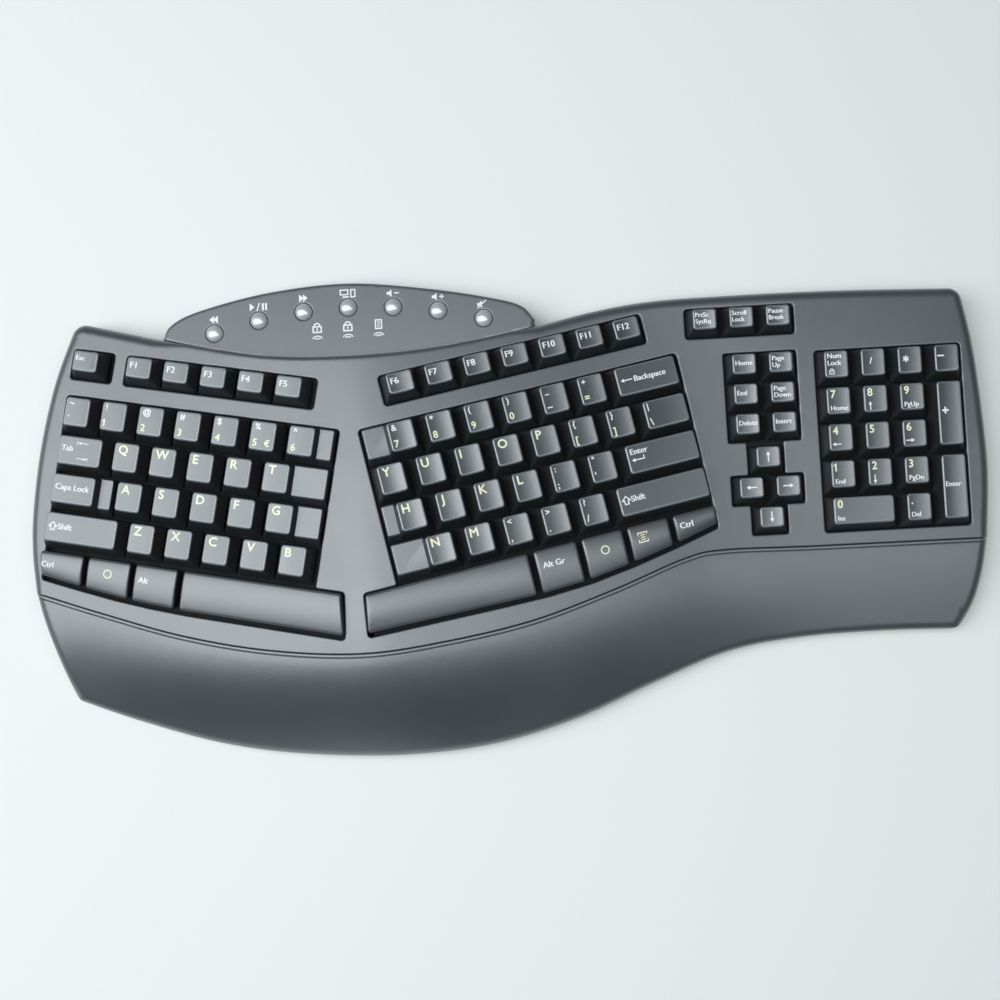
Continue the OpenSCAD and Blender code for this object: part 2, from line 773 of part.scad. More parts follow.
// Folding feet: a plate on two pin ends, in a pocket of the floor.
foot_places = [[left_x + 70, 76], [right_x - 64, 86]];
foot_z = floor_z + foot_t / 2 + foot_clear;
pocket_roof = 1;
pocket_h = foot_t + 2 * foot_clear;
pin_len = 2;
pocket_wall = pin_len + 1;
module folding_foot(place) {
    translate([place[0], place[1], foot_z]) {
        rotate([0, 90, 0])
            cylinder(d = pin_d, h = foot_w + 2 * (foot_clear + pin_len), center = true);
        rotate([0, 90, 0])
            cylinder(d = foot_t, h = foot_w, center = true);
        translate([-foot_w / 2, -foot_len, -foot_t / 2])
            cube([foot_w, foot_len, foot_t]);
        translate([0, -foot_len, 0])
            rotate([0, 90, 0])
                cylinder(d = foot_t, h = foot_w, center = true);
    }
}
module pocket_shell(place) {
    outer_w = foot_w + 2 * (foot_clear + pocket_wall);
    translate([place[0] - outer_w / 2, place[1] - foot_len - foot_t - pocket_wall, floor_z])
        cube([outer_w, foot_len + 2 * foot_t + 2 * pocket_wall - 1, pocket_h + pocket_roof]);
}
module pocket_room(place) {
    room_w = foot_w + 2 * foot_clear;
    translate([place[0] - room_w / 2, place[1] - foot_len - foot_t, floor_z - 1])
        cube([room_w, foot_len + 2 * foot_t - 1, pocket_h + 1]);
    translate([place[0], place[1], foot_z])
        rotate([0, 90, 0])
            cylinder(d = pin_d + 2 * pin_clear, h = room_w + 2 * (pin_len + 0.4), center = true);
}

// Ribs that carry the tilted backplates, cut to the underside of each.
rib_w = 1.6;
left_ribs = [for (d = [-126:32:-30]) split_x + d];
left_rib_span = [-20, 52];
right_ribs = [for (d = [30:32:126]) split_x + d];
right_rib_span = [-15, 52];
pad_ribs = [for (d = [-70, -36, 6, 26]) pad_x + d];
pad_rib_span = [-16, 66];
module rib_row(places, span) {
    for (x = places)
        translate([x - rib_w / 2, span[0], floor_z])
            cube([rib_w, span[1] - span[0], tall]);
}
module above_stack() {
    translate([-far / 2, -far / 2, stack_bottom])
        cube([far, far, far]);
}
module ribs() {
    difference() {
        rib_row(left_ribs, left_rib_span);
        half(-1)
            above_stack();
    }
    difference() {
        rib_row(right_ribs, right_rib_span);
        half(1)
            above_stack();
    }
    difference() {
        rib_row(pad_ribs, pad_rib_span);
        pad_frame()
            above_stack();
    }
}

board_w = 52;
board_d = 30;
board_t = 1.6;
board_y = 18;
board_z = part_z + 2;
board_post_d = 4;
board_post_inset = 4;
board_posts = [
    for (sx = [-1, 1]) for (sy = [-1, 1])
        [split_x + sx * (board_w / 2 - board_post_inset), board_y + sy * (board_d / 2 - board_post_inset)]
];
chip_w = 12;
chip_t = 1.6;
socket_size = [6, 20, 4];
capacitor_at = [-20, -8];
capacitor_d = 5;
media_board_d = 7.4;
media_board_z = part_z + 2.4;
inlet_x = split_x + 172;
inlet_y = 100;
module bottom_case() {
    color(cover_color)
        difference() {
            union() {
                translate([0, 0, floor_z])
                    linear_extrude(floor_t)
                        case_plan();
                translate([0, 0, floor_z])
                    linear_extrude(part_z - floor_z)
                        difference() {
                            case_plan();
                            offset(delta = -shell_wall)
                                case_plan();
                        }
                for (p = concat(cover_screws, palm_screws))
                    translate([p[0], p[1], floor_z])
                        cylinder(d = boss_d, h = part_z - floor_z);
                for (p = board_posts)
                    translate([p[0], p[1], floor_z])
                        cylinder(d = board_post_d, h = board_z - floor_z);
                for (i = [-2.5, -0.5, 0.5, 2.5])
                    translate([button_x(i), button_arc_y(i) + media_shift, floor_z])
                        cylinder(d = board_post_d, h = media_board_z - floor_z);
                for (p = foot_places)
                    pocket_shell(p);
                ribs();
            }
            for (p = foot_places)
                pocket_room(p);
            for (p = concat(cover_screws, palm_screws))
                translate([p[0], p[1], 0]) {
                    cylinder(d = pilot_d, h = part_z + 1);
                    cylinder(d = screw_head_d + 2 * head_clear, h = floor_z + screw_head_t + head_clear);
                }
            translate([inlet_x, inlet_y, (floor_top + part_z) / 2])
                rotate([90, 0, 0])
                    cylinder(d = inlet_d, h = tall, center = true);
        }
}

// Media panel, its buttons, windows and board.
function button_x(i) = split_x - 1 + i * button_pitch;
function button_arc_y(i) = button_y - (i * button_pitch) ^ 2 / (2 * button_arc_r);
media_shift = 0.6;
panel_wall = 2;
panel_roll = 2.4;
lens_w = 3.4;
lens_d = 1.3;
lens_r = 0.5;
lens_x = split_x - 1.6;
lens_pitch = 15.3;
lens_y = 90.4;
lens_clear = 0.1;
lens_reach = 0.8;
module lens_plan(grow) {
    rounded(lens_r)
        square([lens_w + 2 * grow, lens_d + 2 * grow], center = true);
}
module panel_top(drop) {
    panel_frame()
        translate([-far / 2, -far / 2, -drop])
            cube([far, far, far]);
}
// The panel's block up to a drop below its top, with its rear edge set in.
module panel_step(inset, drop) {
    difference() {
        translate([0, 0, part_z])
            linear_extrude(tall)
                intersection() {
                    panel_plan(seam_gap);
                    offset(delta = -inset)
                        polygon(concat(
                            trace(panel_line, panel_steps),
                            [for (p = [panel_line[len(panel_line) - 1], panel_line[0]]) p - [0, tall]]
                        ));
                }
        panel_top(drop);
    }
}
module media_panel() {
    color(cover_color)
        difference() {
            hull()
                for (a = [0:30:90])
                    panel_step(panel_roll * (1 - cos(a)), panel_roll * (1 - sin(a)));
            difference() {
                translate([0, 0, part_z - 1])
                    linear_extrude(tall)
                        offset(delta = -panel_wall)
                            panel_plan(seam_gap);
                panel_top(panel_wall);
            }
            for (i = [-3:3])
                translate([button_x(i), button_arc_y(i), part_z])
                    cylinder(d = button_d + 2 * button_clear, h = tall);
            for (i = [-1:1])
                translate([lens_x + i * lens_pitch, lens_y, part_z])
                    linear_extrude(tall)
                        lens_plan(lens_clear);
        }
}
function panel_height(y) = panel_z + tan(panel_slope) * (y - button_y);
module indicator_lenses() {
    color("white")
        for (i = [-1:1])
            translate([lens_x + i * lens_pitch, lens_y, panel_height(lens_y) - panel_wall - lens_reach])
                linear_extrude(panel_wall + lens_reach)
                    lens_plan(0);
}
button_rise = 1.9;
button_skirt = 3.4;
plunger_d = 3;
switch_h = 1.6;
switch_w = 6;
module media_button_at(i) {
    base = panel_height(button_arc_y(i));
    plunger_z = media_board_z + board_t + switch_h + button_travel + press_clear - base;
    cap_r = (button_d ^ 2 / 4 + button_rise ^ 2) / (2 * button_rise);
    color(metal_color)
        translate([button_x(i), button_arc_y(i), base]) {
            intersection() {
                translate([0, 0, -button_skirt])
                    cylinder(d = button_d, h = button_skirt + button_rise + 1);
                translate([0, 0, button_rise - cap_r])
                    sphere(r = cap_r, $fn = 64);
            }
            translate([0, 0, plunger_z])
                cylinder(d = plunger_d, h = press_clear - button_skirt - plunger_z);
        }
}
module media_board() {
    color(board_color)
        for (i = [-3:3])
            translate([button_x(i), button_arc_y(i), media_board_z]) {
                translate([-button_pitch / 2, media_shift - media_board_d / 2, 0])
                    cube([button_pitch, media_board_d, board_t]);
                translate([-switch_w / 2, -switch_w / 2, board_t])
                    cube([switch_w, switch_w, switch_h]);
            }
}
module controller_board() {
    color(board_color)
        union() {
            translate([split_x - board_w / 2, board_y - board_d / 2, board_z])
                cube([board_w, board_d, board_t]);
            translate([split_x - chip_w / 2, board_y - chip_w / 2, board_z + board_t])
                cube([chip_w, chip_w, chip_t]);
            translate([split_x + chip_w, board_y - socket_size[1] / 2, board_z + board_t])
                cube(socket_size);
            translate([split_x + capacitor_at[0], board_y + capacitor_at[1], board_z + board_t])
                cylinder(d = capacitor_d, h = capacitor_d);
        }
}
module case_screws() {
    color(steel_color)
        for (p = concat(cover_screws, palm_screws))
            translate([p[0], p[1], floor_z + head_clear]) {
                cylinder(d = screw_head_d, h = screw_head_t);
                cylinder(d = screw_d, h = part_z - floor_z + screw_reach - 2 * head_clear);
            }
}
rubber_places = [
    [left_x + 40, 62], [split_x, 62], [right_x - 24, 62],
    [left_x + 36, -66], [split_x, -106], [right_x - 36, -58]
];
rubber_w = 18;
rubber_d = 8;
module rubber_feet() {
    color("#1b1b1b")
        for (p = rubber_places)
            translate([p[0], p[1], 0])
                linear_extrude(rubber_t)
                    rounded(3)
                        square([rubber_w, rubber_d], center = true);
}

// Plates of the three key units, trimmed to the inside of the case.
module inside() {
    linear_extrude(far / 4)
        offset(delta = -shell_wall - 1)
            deck_plan();
}
module left_unit_plan() {
    polygon([
        at(-0.75, -1.78), at(6.3, -1.78), at(6.3, -0.55), at(6.98, -0.55),
        at(6.98, 3.58), at(7.62, 3.58), at(7.8, 4.9), at(-0.75, 4.9)
    ]);
}
module right_unit_plan() {
    polygon([
        at(6.66, -1.78), at(13.92, -1.78), at(13.92, -0.6), at(14.5, -0.6), at(14.5, 4.4),
        at(12, 4.9), at(5.1, 4.9), at(5.2, 3.58), at(5.9, 3.58), at(5.9, -0.55), at(6.66, -0.55)
    ]);
}
module pad_unit_plan() {
    p = pad_pitch;
    rear = 2 * p + 10.5;
    front = -2 * p - 11.5;
    print_rear = print_y + 7.7;
    print_front = print_y - 9.3;
    polygon([
        [-5.6 * p, print_rear], [-2.4 * p, print_rear], [-2.4 * p, rear], [2.06 * p, rear],
        [2.06 * p, front], [-4.55 * p, front], [-4.55 * p, print_front], [-5.6 * p, print_front]
    ]);
}
module layer(from, to) {
    translate([0, 0, from])
        linear_extrude(to - from)
            children();
}
module rim_of(w) {
    difference() {
        children();
        offset(delta = -w)
            children();
    }
}
// The three units' plates, or only a rim of them.
module in_units(from, to, rim = 0) {
    intersection() {
        half(-1)
            layer(from, to)
                if (rim > 0)
                    rim_of(rim)
                        left_unit_plan();
                else
                    left_unit_plan();
        inside();
    }
    intersection() {
        half(1)
            layer(from, to)
                if (rim > 0)
                    rim_of(rim)
                        right_unit_plan();
                else
                    right_unit_plan();
        inside();
    }
    intersection() {
        pad_frame()
            layer(from, to)
                if (rim > 0)
                    rim_of(rim)
                        pad_unit_plan();
                else
                    pad_unit_plan();
        inside();
    }
}
module at_spots(list) {
    for (p = list)
        translate([p[0], p[1], 0])
            children();
}
module at_all_spots() {
    half(-1)
        at_spots(half_spots(left_posts))
            children();
    half(1)
        at_spots(half_spots(right_posts))
            children();
    pad_frame()
        at_spots(pad_spots(pad_posts))
            children();
}
module key_frames() {
    color(frame_color)
        difference() {
            union() {
                in_units(plate_bottom, plate_top);
                in_units(sheet_top, plate_bottom + slice, rim_w);
                at_all_spots()
                    layer(plate_bottom, plate_top + guide_rise)
                        circle(d = tower_d);
            }
            at_all_spots()
                layer(plate_bottom - 1, plate_top + guide_rise + 1)
                    circle(d = guide_d);
        }
}
module dome_sheets() {
    color(rubber_color)
        union() {
            in_units(sheet_bottom, sheet_top);
            at_all_spots()
                translate([0, 0, sheet_top])
                    rotate_extrude()
                        polygon([
                            [0, -sheet_t / 2], [dome_foot_d / 2, -sheet_t / 2], [dome_foot_d / 2, 0.3],
                            [dome_crown_d / 2, dome_top - sheet_top], [0, dome_top - sheet_top]
                        ]);
        }
}
module membranes() {
    color("#e8e8e0")
        in_units(membrane_bottom, sheet_bottom);
}
module backplates() {
    color(steel_color)
        in_units(stack_bottom, membrane_bottom);
}
module left_folding_foot() {
    color(cover_color)
        folding_foot(foot_places[0]);
}
module right_folding_foot() {
    color(cover_color)
        folding_foot(foot_places[1]);
}

// Keys of the left half.
function cap_depth(row) = row == function_row ? function_depth : key_pitch;
module left_cap(column, row, w = 1, ledge = 0, bar = false) {
    color(key_color)
        key_at(-1, column, row)
            keycap(w * key_pitch, cap_depth(row), ledge * key_pitch, bar);
}
module right_cap(column, row, w = 1, ledge = 0, bar = false) {
    color(key_color)
        key_at(1, column, row)
            keycap(w * key_pitch, cap_depth(row), ledge * key_pitch, bar);
}
module left_wide(from, to, row, ledge = 0) {
    left_cap((from + to - ledge) / 2, row, to - from - ledge, ledge);
}
module right_wide(from, to, row) {
    right_cap((from + to) / 2, row, to - from);
}
module escape_key() {
    left_cap(0, function_row);
}
module left_function_keys() {
    for (i = [0:4])
        left_cap(left_function + i, function_row);
}
module left_number_keys() {
    for (c = [0:6])
        left_cap(c, 0, 1, c == 6 ? left_ledge_edge - 6.5 : 0);
}
module tab_key() {
    left_wide(home_edge, 1, 1);
}
module left_upper_keys() {
    for (i = [0:4])
        left_cap(1.5 + i, 1, 1, i == 4 ? left_ledge_edge - 6 : 0);
}
module caps_lock_key() {
    left_wide(home_edge, caps_edge, 2, caps_ledge);
}
module left_home_keys() {
    for (i = [0:4])
        left_cap(1.75 + i, 2, 1, i == 4 ? left_ledge_edge - 6.25 : 0, i == 3);
}
module left_shift_key() {
    left_wide(home_edge, 1.75, 3);
}
module left_lower_keys() {
    for (i = [0:4])
        left_cap(2.25 + i, 3);
}
module left_control_key() {
    color(key_color)
        left_slab(0);
}
module left_system_key() {
    color(key_color)
        left_slab(1);
}
module left_alt_key() {
    color(key_color)
        left_slab(2);
}
module left_space_bar() {
    color(key_color)
        left_slab(3);
}

// Keys of the right half.
module right_function_keys() {
    for (i = [0:6])
        right_cap(right_function + i, function_row);
}
module right_number_keys() {
    for (c = [7:12])
        right_cap(c, 0, 1, c == 7 ? right_ledge_edge - 6.5 : 0);
}
module backspace_key() {
    right_wide(12.5, outer_edge, 0);
}
module right_upper_keys() {
    for (i = [0:6])
        right_cap(6.5 + i, 1);
    right_wide(13, outer_edge, 1);
}
module right_home_keys() {
    for (i = [0:5])
        right_cap(6.75 + i, 2, 1, i == 0 ? right_ledge_edge - 6.25 : 0, i == 1);
}
module enter_key() {
    right_wide(12.25, outer_edge, 2);
}
module right_lower_keys() {
    for (i = [0:4])
        right_cap(7.25 + i, 3, 1, i == 0 ? right_ledge_edge - 6.75 : 0);
}
module right_shift_key() {
    right_wide(11.75, outer_edge, 3);
}
module right_space_bar() {
    color(key_color)
        right_slab(0);
}
module right_alt_key() {
    color(key_color)
        right_slab(1);
}
module right_system_key() {
    color(key_color)
        right_slab(2);
}
module menu_key() {
    color(key_color)
        right_slab(3);
}
module right_control_key() {
    color(key_color)
        right_slab(4);
}

// Editing keys, arrows and number pad.
module short_cap(column, y) {
    color(key_color)
        pad_at(column, y)
            keycap(pad_pitch, short_pitch);
}
module pad_cap(column, y, w = 1, d = 1, bar = false) {
    color(key_color)
        pad_at(column, y)
            keycap(w * pad_pitch, d * pad_pitch, 0, bar);
}
module print_keys() {
    for (c = [-5:-3])
        short_cap(c, print_y);
}
module editing_keys() {
    for (k = editing_cells)
        short_cap(k[0], k[1]);
}
module up_arrow_key() {
    short_cap(-3.5, arrow_y[0]);
}
module left_arrow_key() {
    short_cap(-4, arrow_y[1]);
}
module down_arrow_key() {
    short_cap(-3.5, arrow_y[2]);
}
module right_arrow_key() {
    short_cap(-3, arrow_y[1]);
}
module number_pad_keys() {
    for (k = digit_cells)
        pad_cap(k[0], k[1], 1, 1, k == [-0.5, 0]);
}
module pad_plus_key() {
    pad_cap(1.5, pad_pitch / 2, 1, 2);
}
module pad_enter_key() {
    pad_cap(1.5, -1.5 * pad_pitch, 1, 2);
}
module pad_zero_key() {
    pad_cap(-1, -2 * pad_pitch, 2, 1);
}

// Media buttons from left to right.
module previous_button() {
    media_button_at(-3);
}
module play_button() {
    media_button_at(-2);
}
module next_button() {
    media_button_at(-1);
}
module media_button() {
    media_button_at(0);
}
module volume_down_button() {
    media_button_at(1);
}
module volume_up_button() {
    media_button_at(2);
}
module mute_button() {
    media_button_at(3);
}

top_cover();
palm_rest();
bottom_case();
media_panel();
key_frames();
dome_sheets();
membranes();
backplates();
controller_board();
media_board();
indicator_lenses();
case_screws();
rubber_feet();
left_folding_foot();
right_folding_foot();
escape_key();
left_function_keys();
left_number_keys();
tab_key();
left_upper_keys();
caps_lock_key();
left_home_keys();
left_shift_key();
left_lower_keys();
left_control_key();
left_system_key();
left_alt_key();
left_space_bar();
right_function_keys();
right_number_keys();
backspace_key();
right_upper_keys();
right_home_keys();
enter_key();
right_lower_keys();
right_shift_key();
right_space_bar();
right_alt_key();
right_system_key();
menu_key();
right_control_key();
print_keys();
editing_keys();
up_arrow_key();
left_arrow_key();
down_arrow_key();
right_arrow_key();
number_pad_keys();
pad_plus_key();
pad_enter_key();
pad_zero_key();
previous_button();
play_button();
next_button();
media_button();
volume_down_button();
volume_up_button();
mute_button();
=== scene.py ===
"""Looks of an ergonomic split keyboard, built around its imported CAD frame.

Sizes are in millimetres, in the CAD frame: +X to the right, +Y to the rear, +Z up from the desk.
Shapes are scaled to metres when their meshes are made.
"""

import functools
import math

import bmesh
import bpy
import numpy as np
from mathutils import Matrix, Vector
from mathutils.geometry import delaunay_2d_cdt


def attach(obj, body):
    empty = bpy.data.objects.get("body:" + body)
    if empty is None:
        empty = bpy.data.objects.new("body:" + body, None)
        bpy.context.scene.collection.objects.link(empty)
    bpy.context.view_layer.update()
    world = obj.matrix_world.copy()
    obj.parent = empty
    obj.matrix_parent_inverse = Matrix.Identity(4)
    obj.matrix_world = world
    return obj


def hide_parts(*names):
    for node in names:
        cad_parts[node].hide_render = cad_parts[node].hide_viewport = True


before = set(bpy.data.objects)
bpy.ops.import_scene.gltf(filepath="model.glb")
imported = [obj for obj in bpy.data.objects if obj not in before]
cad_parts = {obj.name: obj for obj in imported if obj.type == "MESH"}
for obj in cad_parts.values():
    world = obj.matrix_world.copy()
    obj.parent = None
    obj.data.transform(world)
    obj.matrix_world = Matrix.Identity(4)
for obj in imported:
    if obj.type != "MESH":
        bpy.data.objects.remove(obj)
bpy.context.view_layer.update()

MM = 0.001

# Key field
KEY_PITCH = 19.05
PAD_PITCH = 18.0
SHORT_PITCH = 14.8
FUNCTION_DEPTH = 15.0
KEY_GAP = 1.0
KEY_HEIGHT = 8.2
SIDE_TAPER, FRONT_TAPER, REAR_TAPER = 2.9, 3.4, 0.8
DISH_DEPTH = 0.45
CAP_WALL, ROOF_EXTRA, INNER_CORNER = 1.4, 0.2, 1.0
TOP_EDGE, TOP_CORNER, TOP_RIM, TOP_BAND, TOP_STEP = 0.55, 1.5, 0.3, 0.4, 1.6
LEAST_CORNER = 0.2
SKIRT_CORNER, SKIRT_EASE = 0.9, 0.15
LEDGE_DROP, LEDGE_EASE, LEDGE_ROLL, LEDGE_RIM = 4.2, 0.5, 0.5, 0.8
STEM_D, STEM_TOP, STEM_BOTTOM, STEM_CHAMFER = 4.6, -1.0, -14.2, 0.4
WIDE_KEY, POST_INSET = 1.6, 9.5

# Low slabs of the bottom row: the crown's ridge is a share of their depth from the rear
SLAB_DROP, SLAB_EDGE, SLAB_CORNER, SLAB_BEND, SLAB_ROOF, SLAB_STEM = 3.0, 1.3, 1.6, 0.5, 0.6, 1.5
SLAB_STEPS, SLAB_STEP = (0.0, 0.08, 0.3, 0.65, 1.05, 1.5), 2.0
SLAB_RIDGE, SLAB_REAR_DROP, SLAB_FRONT_DROP, SLAB_BACK = 0.3, 0.5, 1.8, 1.5

# Split, tent and number pad
SPLIT_X = -74.0
SPLIT_ANGLE, TENT_ANGLE, HALF_SLOPE = 11.4, 6.6, -1.8
HALF_REF = (20.6, 7.5, 42.0)
PAD_ORIGIN, PAD_SLOPE = (190.5, 26.0, 23.9), 1.8

# Case
LEFT_X, RIGHT_X = -237.7, 237.7
DECK_DROP = 6.5
CROWN_R, BLEND_W = 14.0, 5.0
EDGE_ROLL, PALM_ROLL, SEAM_ROLL = 5.0, 3.0, 0.5
CORNER_R, PALM_CORNER_R = 7.0, 10.0
SHELL_WALL, SHELL_EASE, PART_Z = 2.2, 0.25, 6.0
LIP_Z, PALM_POWER, PALM_DEPTH = 10.5, 1.8, 52.5
PALM_GAP, PALM_STEP = 0.3, 0.4
BEAD_W, BEAD_RISE, GROOVE_W, GROOVE_DEPTH = 1.5, 0.25, 0.4, 0.42
WINDOW_GAP, WINDOW_R, WINDOW_LIP, WINDOW_RIM = 0.6, 1.8, 0.6, 0.35
STEP_R, SMOOTH_R, ARROW_R, HOLE_CLEAR = 1.2, 0.6, 1.1, 0.25

# Media panel, and the tighter edge of the deck along it
PANEL_Z, PANEL_SLOPE, PANEL_ROLL, PANEL_FRONT_ROLL = 18.0, -4.0, 1.4, 0.8
PANEL_WALL, PANEL_GAP = 2.0, 0.5
PANEL_EDGE, PANEL_MIDDLE, PANEL_HALF, PANEL_EASE, PANEL_SIDE_Y = 1.8, SPLIT_X - 1.5, 80.0, 16.0, 40.0
BUTTON_D, BUTTON_CLEAR, BUTTON_PITCH = 8.4, 0.3, 22.4
BUTTON_X, BUTTON_Y, BUTTON_ARC_R = SPLIT_X - 1, 105.5, 240.0
BUTTON_RISE, BUTTON_SKIRT, BUTTON_POST_R, BUTTON_FOOT_Z = 1.9, 3.4, 1.5, 13.1
LENS_W, LENS_D, LENS_CLEAR, LENS_Y = 3.4, 1.3, 0.1, 90.4
LENS_X = [SPLIT_X - 1.6 + 15.3 * i for i in (-1, 0, 1)]

# Printed marks: how far they stand out of their surface and reach into it
PRINT_LIFT, PRINT_SINK, COPY_LIFT = 0.05, 0.15, 0.004
BOLD = 0.04

# Lighter edges, from 0 to 1: wear on the case's lips and rims, and painted highlight along the palm's bead
# and the edges of key tops, ledges and slabs; and the angle from which an edge is sharp
LIP_WEAR, RIM_WEAR, BEAD_HIGHLIGHT, KEY_EDGE_HIGHLIGHT, LEDGE_EDGE_HIGHLIGHT, SLAB_EDGE_HIGHLIGHT = 0.6, 0.3, 0.4, 1.0, 0.1, 0.25
SHARP_ANGLE = 32


# Curves

def points(*pairs):
    return np.array(pairs, float)


# The outline's points are measured from the split (S), the left end (L) and the right end (R)
S, L, R = SPLIT_X, LEFT_X, RIGHT_X
FRONT_Y = -65.5 - PALM_DEPTH
rear_line = points(
    (L + 26, 106), (L + 53, 98.5), (S - 76, 89), (S - 38, 81), (S, 78.5), (S + 38, 80.5),
    (S + 78, 87), (S + 119, 96), (S + 149, 100), (S + 184, 100.8), (R - 73, 100.4), (R - 8.5, 98),
)
seam_line = points(
    (L + 1.6, -27.5), (L + 38, -40.3), (S - 86, -53), (S - 44, -61.8), (S, -65.5), (S + 40, -62),
    (S + 82, -54.5), (S + 122, -42), (S + 158, -28.8), (S + 178, -25.6), (S + 224, -26.2), (R - 2.6, -26.8),
)
front_line = points(
    (L + 17.7, FRONT_Y + 36), (L + 48, FRONT_Y + 24), (S - 76, FRONT_Y + 11), (S - 36, FRONT_Y + 3.5),
    (S + 14, FRONT_Y), (S + 60, FRONT_Y + 3), (S + 102, FRONT_Y + 13.5), (S + 140, FRONT_Y + 28.5),
    (S + 178, FRONT_Y + 42), (S + 214, FRONT_Y + 47), (S + 254, FRONT_Y + 48), (R - 18.7, FRONT_Y + 47),
)
left_rear = points(rear_line[0], (L + 13.7, 76), (L + 5.2, 43), (L + 0.7, 12), (L, -8), seam_line[0])
left_front = points(seam_line[0], (L + 5.2, -42), (L + 11, -61), front_line[0])
right_rear = points(rear_line[-1], (R - 3.6, 70), (R - 0.8, 35), (R, 5), seam_line[-1])
right_front = points(seam_line[-1], (R - 5.8, -43), (R - 10.8, -58), front_line[-1])
panel_line = points(
    (S - 94, 94.5), (S - 90, 101.5), (S - 76, 108), (S - 41, 115.5), (S - 1, 118), (S + 39, 113),
    (S + 70, 106.5), (S + 85, 101.5), (S + 91.5, 94),
)
PANEL_FROM, PANEL_TO = 1.49 / 11, 6.32 / 11
CURVE_STEPS, PATH_STEP, ARC_STEP, LATTICE_ROW = 400, 2.0, 0.35, 0.866
LEAST_MITRE, LEAST_LINE_MITRE, KEPT_SHARE = 0.5, 0.4, 0.97


def unit(vectors):
    return vectors / np.linalg.norm(vectors, axis=1)[:, None]


def closed(loop):
    return np.vstack([loop, loop[:1]])


def curve(line, t):
    """Point at t, from 0 to 1, of the smooth curve through the points of a line."""
    spans = len(line) - 1
    i = min(int(t * spans), spans - 1)
    u = t * spans - i
    b, c = line[i], line[i + 1]
    a = line[i - 1] if i > 0 else 2 * b - c
    d = line[i + 2] if i < spans - 1 else 2 * c - b
    bend, twist = 2 * a - 5 * b + 4 * c - d, 3 * b - a - 3 * c + d
    return 0.5 * (2 * b + (c - a) * u + bend * u ** 2 + twist * u ** 3)


def lengths_of(path):
    """Distance along a path to each of its points."""
    return np.r_[0, np.cumsum(np.linalg.norm(np.diff(path, axis=0), axis=1))]


def resampled(path, at):
    """Points at some distances along a path."""
    lengths = lengths_of(path)
    return np.stack([np.interp(at, lengths, path[:, k]) for k in range(2)], axis=1)


def spaced(path, step):
    """The same path with points about a step apart."""
    length = lengths_of(path)[-1]
    return resampled(path, np.linspace(0, length, max(int(round(length / step)), 1) + 1))


def trace(line, start=0.0, end=1.0):
    """The smooth curve through a line's points, or a stretch of it, as a path."""
    return spaced(np.array([curve(line, t) for t in np.linspace(start, end, CURVE_STEPS)]), PATH_STEP)


def eased_ends(path, reach, fine):
    """The path with closer points near both of its ends."""
    lengths = lengths_of(path)
    near = np.arange(2 * fine, reach, fine)
    inner = lengths[(lengths > reach) & (lengths < lengths[-1] - reach)]
    return resampled(path, np.unique(np.round(np.r_[0, lengths[-1], near, lengths[-1] - near, inner], 4)))


def distance(spots, path):
    """Least distance of each spot from a path."""
    best = np.full(len(spots), np.inf)
    for p, v in zip(path, np.diff(path, axis=0)):
        t = np.clip(((spots - p) @ v) / max(v @ v, 1e-12), 0, 1)
        best = np.minimum(best, np.hypot(*(spots - p - t[:, None] * v).T))
    return best


def inside(spots, loop):
    """Which spots lie inside a closed loop."""
    x, y = spots[:, 0], spots[:, 1]
    found = np.zeros(len(spots), bool)
    for (x0, y0), (x1, y1) in zip(loop, np.roll(loop, -1, axis=0)):
        crosses = (y0 > y) != (y1 > y)
        if crosses.any():
            found ^= crosses & (x < (x1 - x0) * (y - y0) / (y1 - y0 + 1e-15) + x0)
    return found


def grown(loop, by):
    """A counter-clockwise loop moved outwards."""
    a = unit(loop - np.roll(loop, 1, axis=0))
    b = unit(np.roll(loop, -1, axis=0) - loop)
    out = unit(np.stack([a[:, 1] + b[:, 1], -a[:, 0] - b[:, 0]], axis=1))
    slant = np.clip(out[:, 0] * b[:, 1] - out[:, 1] * b[:, 0], LEAST_MITRE, 1)
    return loop + out * (by / slant)[:, None]


def shrunk(loop, by):
    """A counter-clockwise loop moved inwards, without the points that come too near another side."""
    spots = grown(loop, -by)
    return spots[distance(spots, closed(loop)) > KEPT_SHARE * by]


def beside(path, by):
    """A path moved to its right."""
    run = unit(np.gradient(path, axis=0))
    return path + by * np.stack([run[:, 1], -run[:, 0]], axis=1)


def arc(centre, start, turn, radius, count):
    angles = start + turn * np.linspace(0, 1, count)
    return np.stack([centre[0] + radius * np.cos(angles), centre[1] + radius * np.sin(angles)], axis=1)


def circle(x, y, radius, count=40):
    return arc((x, y), 0, 2 * math.pi * (count - 1) / count, radius, count)


def rounded_corner(incoming, outgoing, radius):
    """Two paths that meet at a left-turning corner, as one path with the corner rounded."""
    centres = beside(incoming, -radius)
    gaps = distance(centres, outgoing)
    i = len(incoming) - 2
    while i > 0 and gaps[i] < radius:
        i -= 1
    share = (gaps[i] - radius) / (gaps[i] - gaps[i + 1])
    centre = centres[i] + share * (centres[i + 1] - centres[i])
    leave = incoming[i] + share * (incoming[i + 1] - incoming[i])
    j = int(np.argmin(np.hypot(*(outgoing - centre).T)))
    first, last = leave - centre, outgoing[j] - centre
    start = math.atan2(first[1], first[0])
    turn = (math.atan2(last[1], last[0]) - start) % (2 * math.pi)
    return np.vstack([incoming[:i], arc(centre, start, turn, radius, 12), outgoing[j + 2:]])


STRAIGHT = math.radians(86)


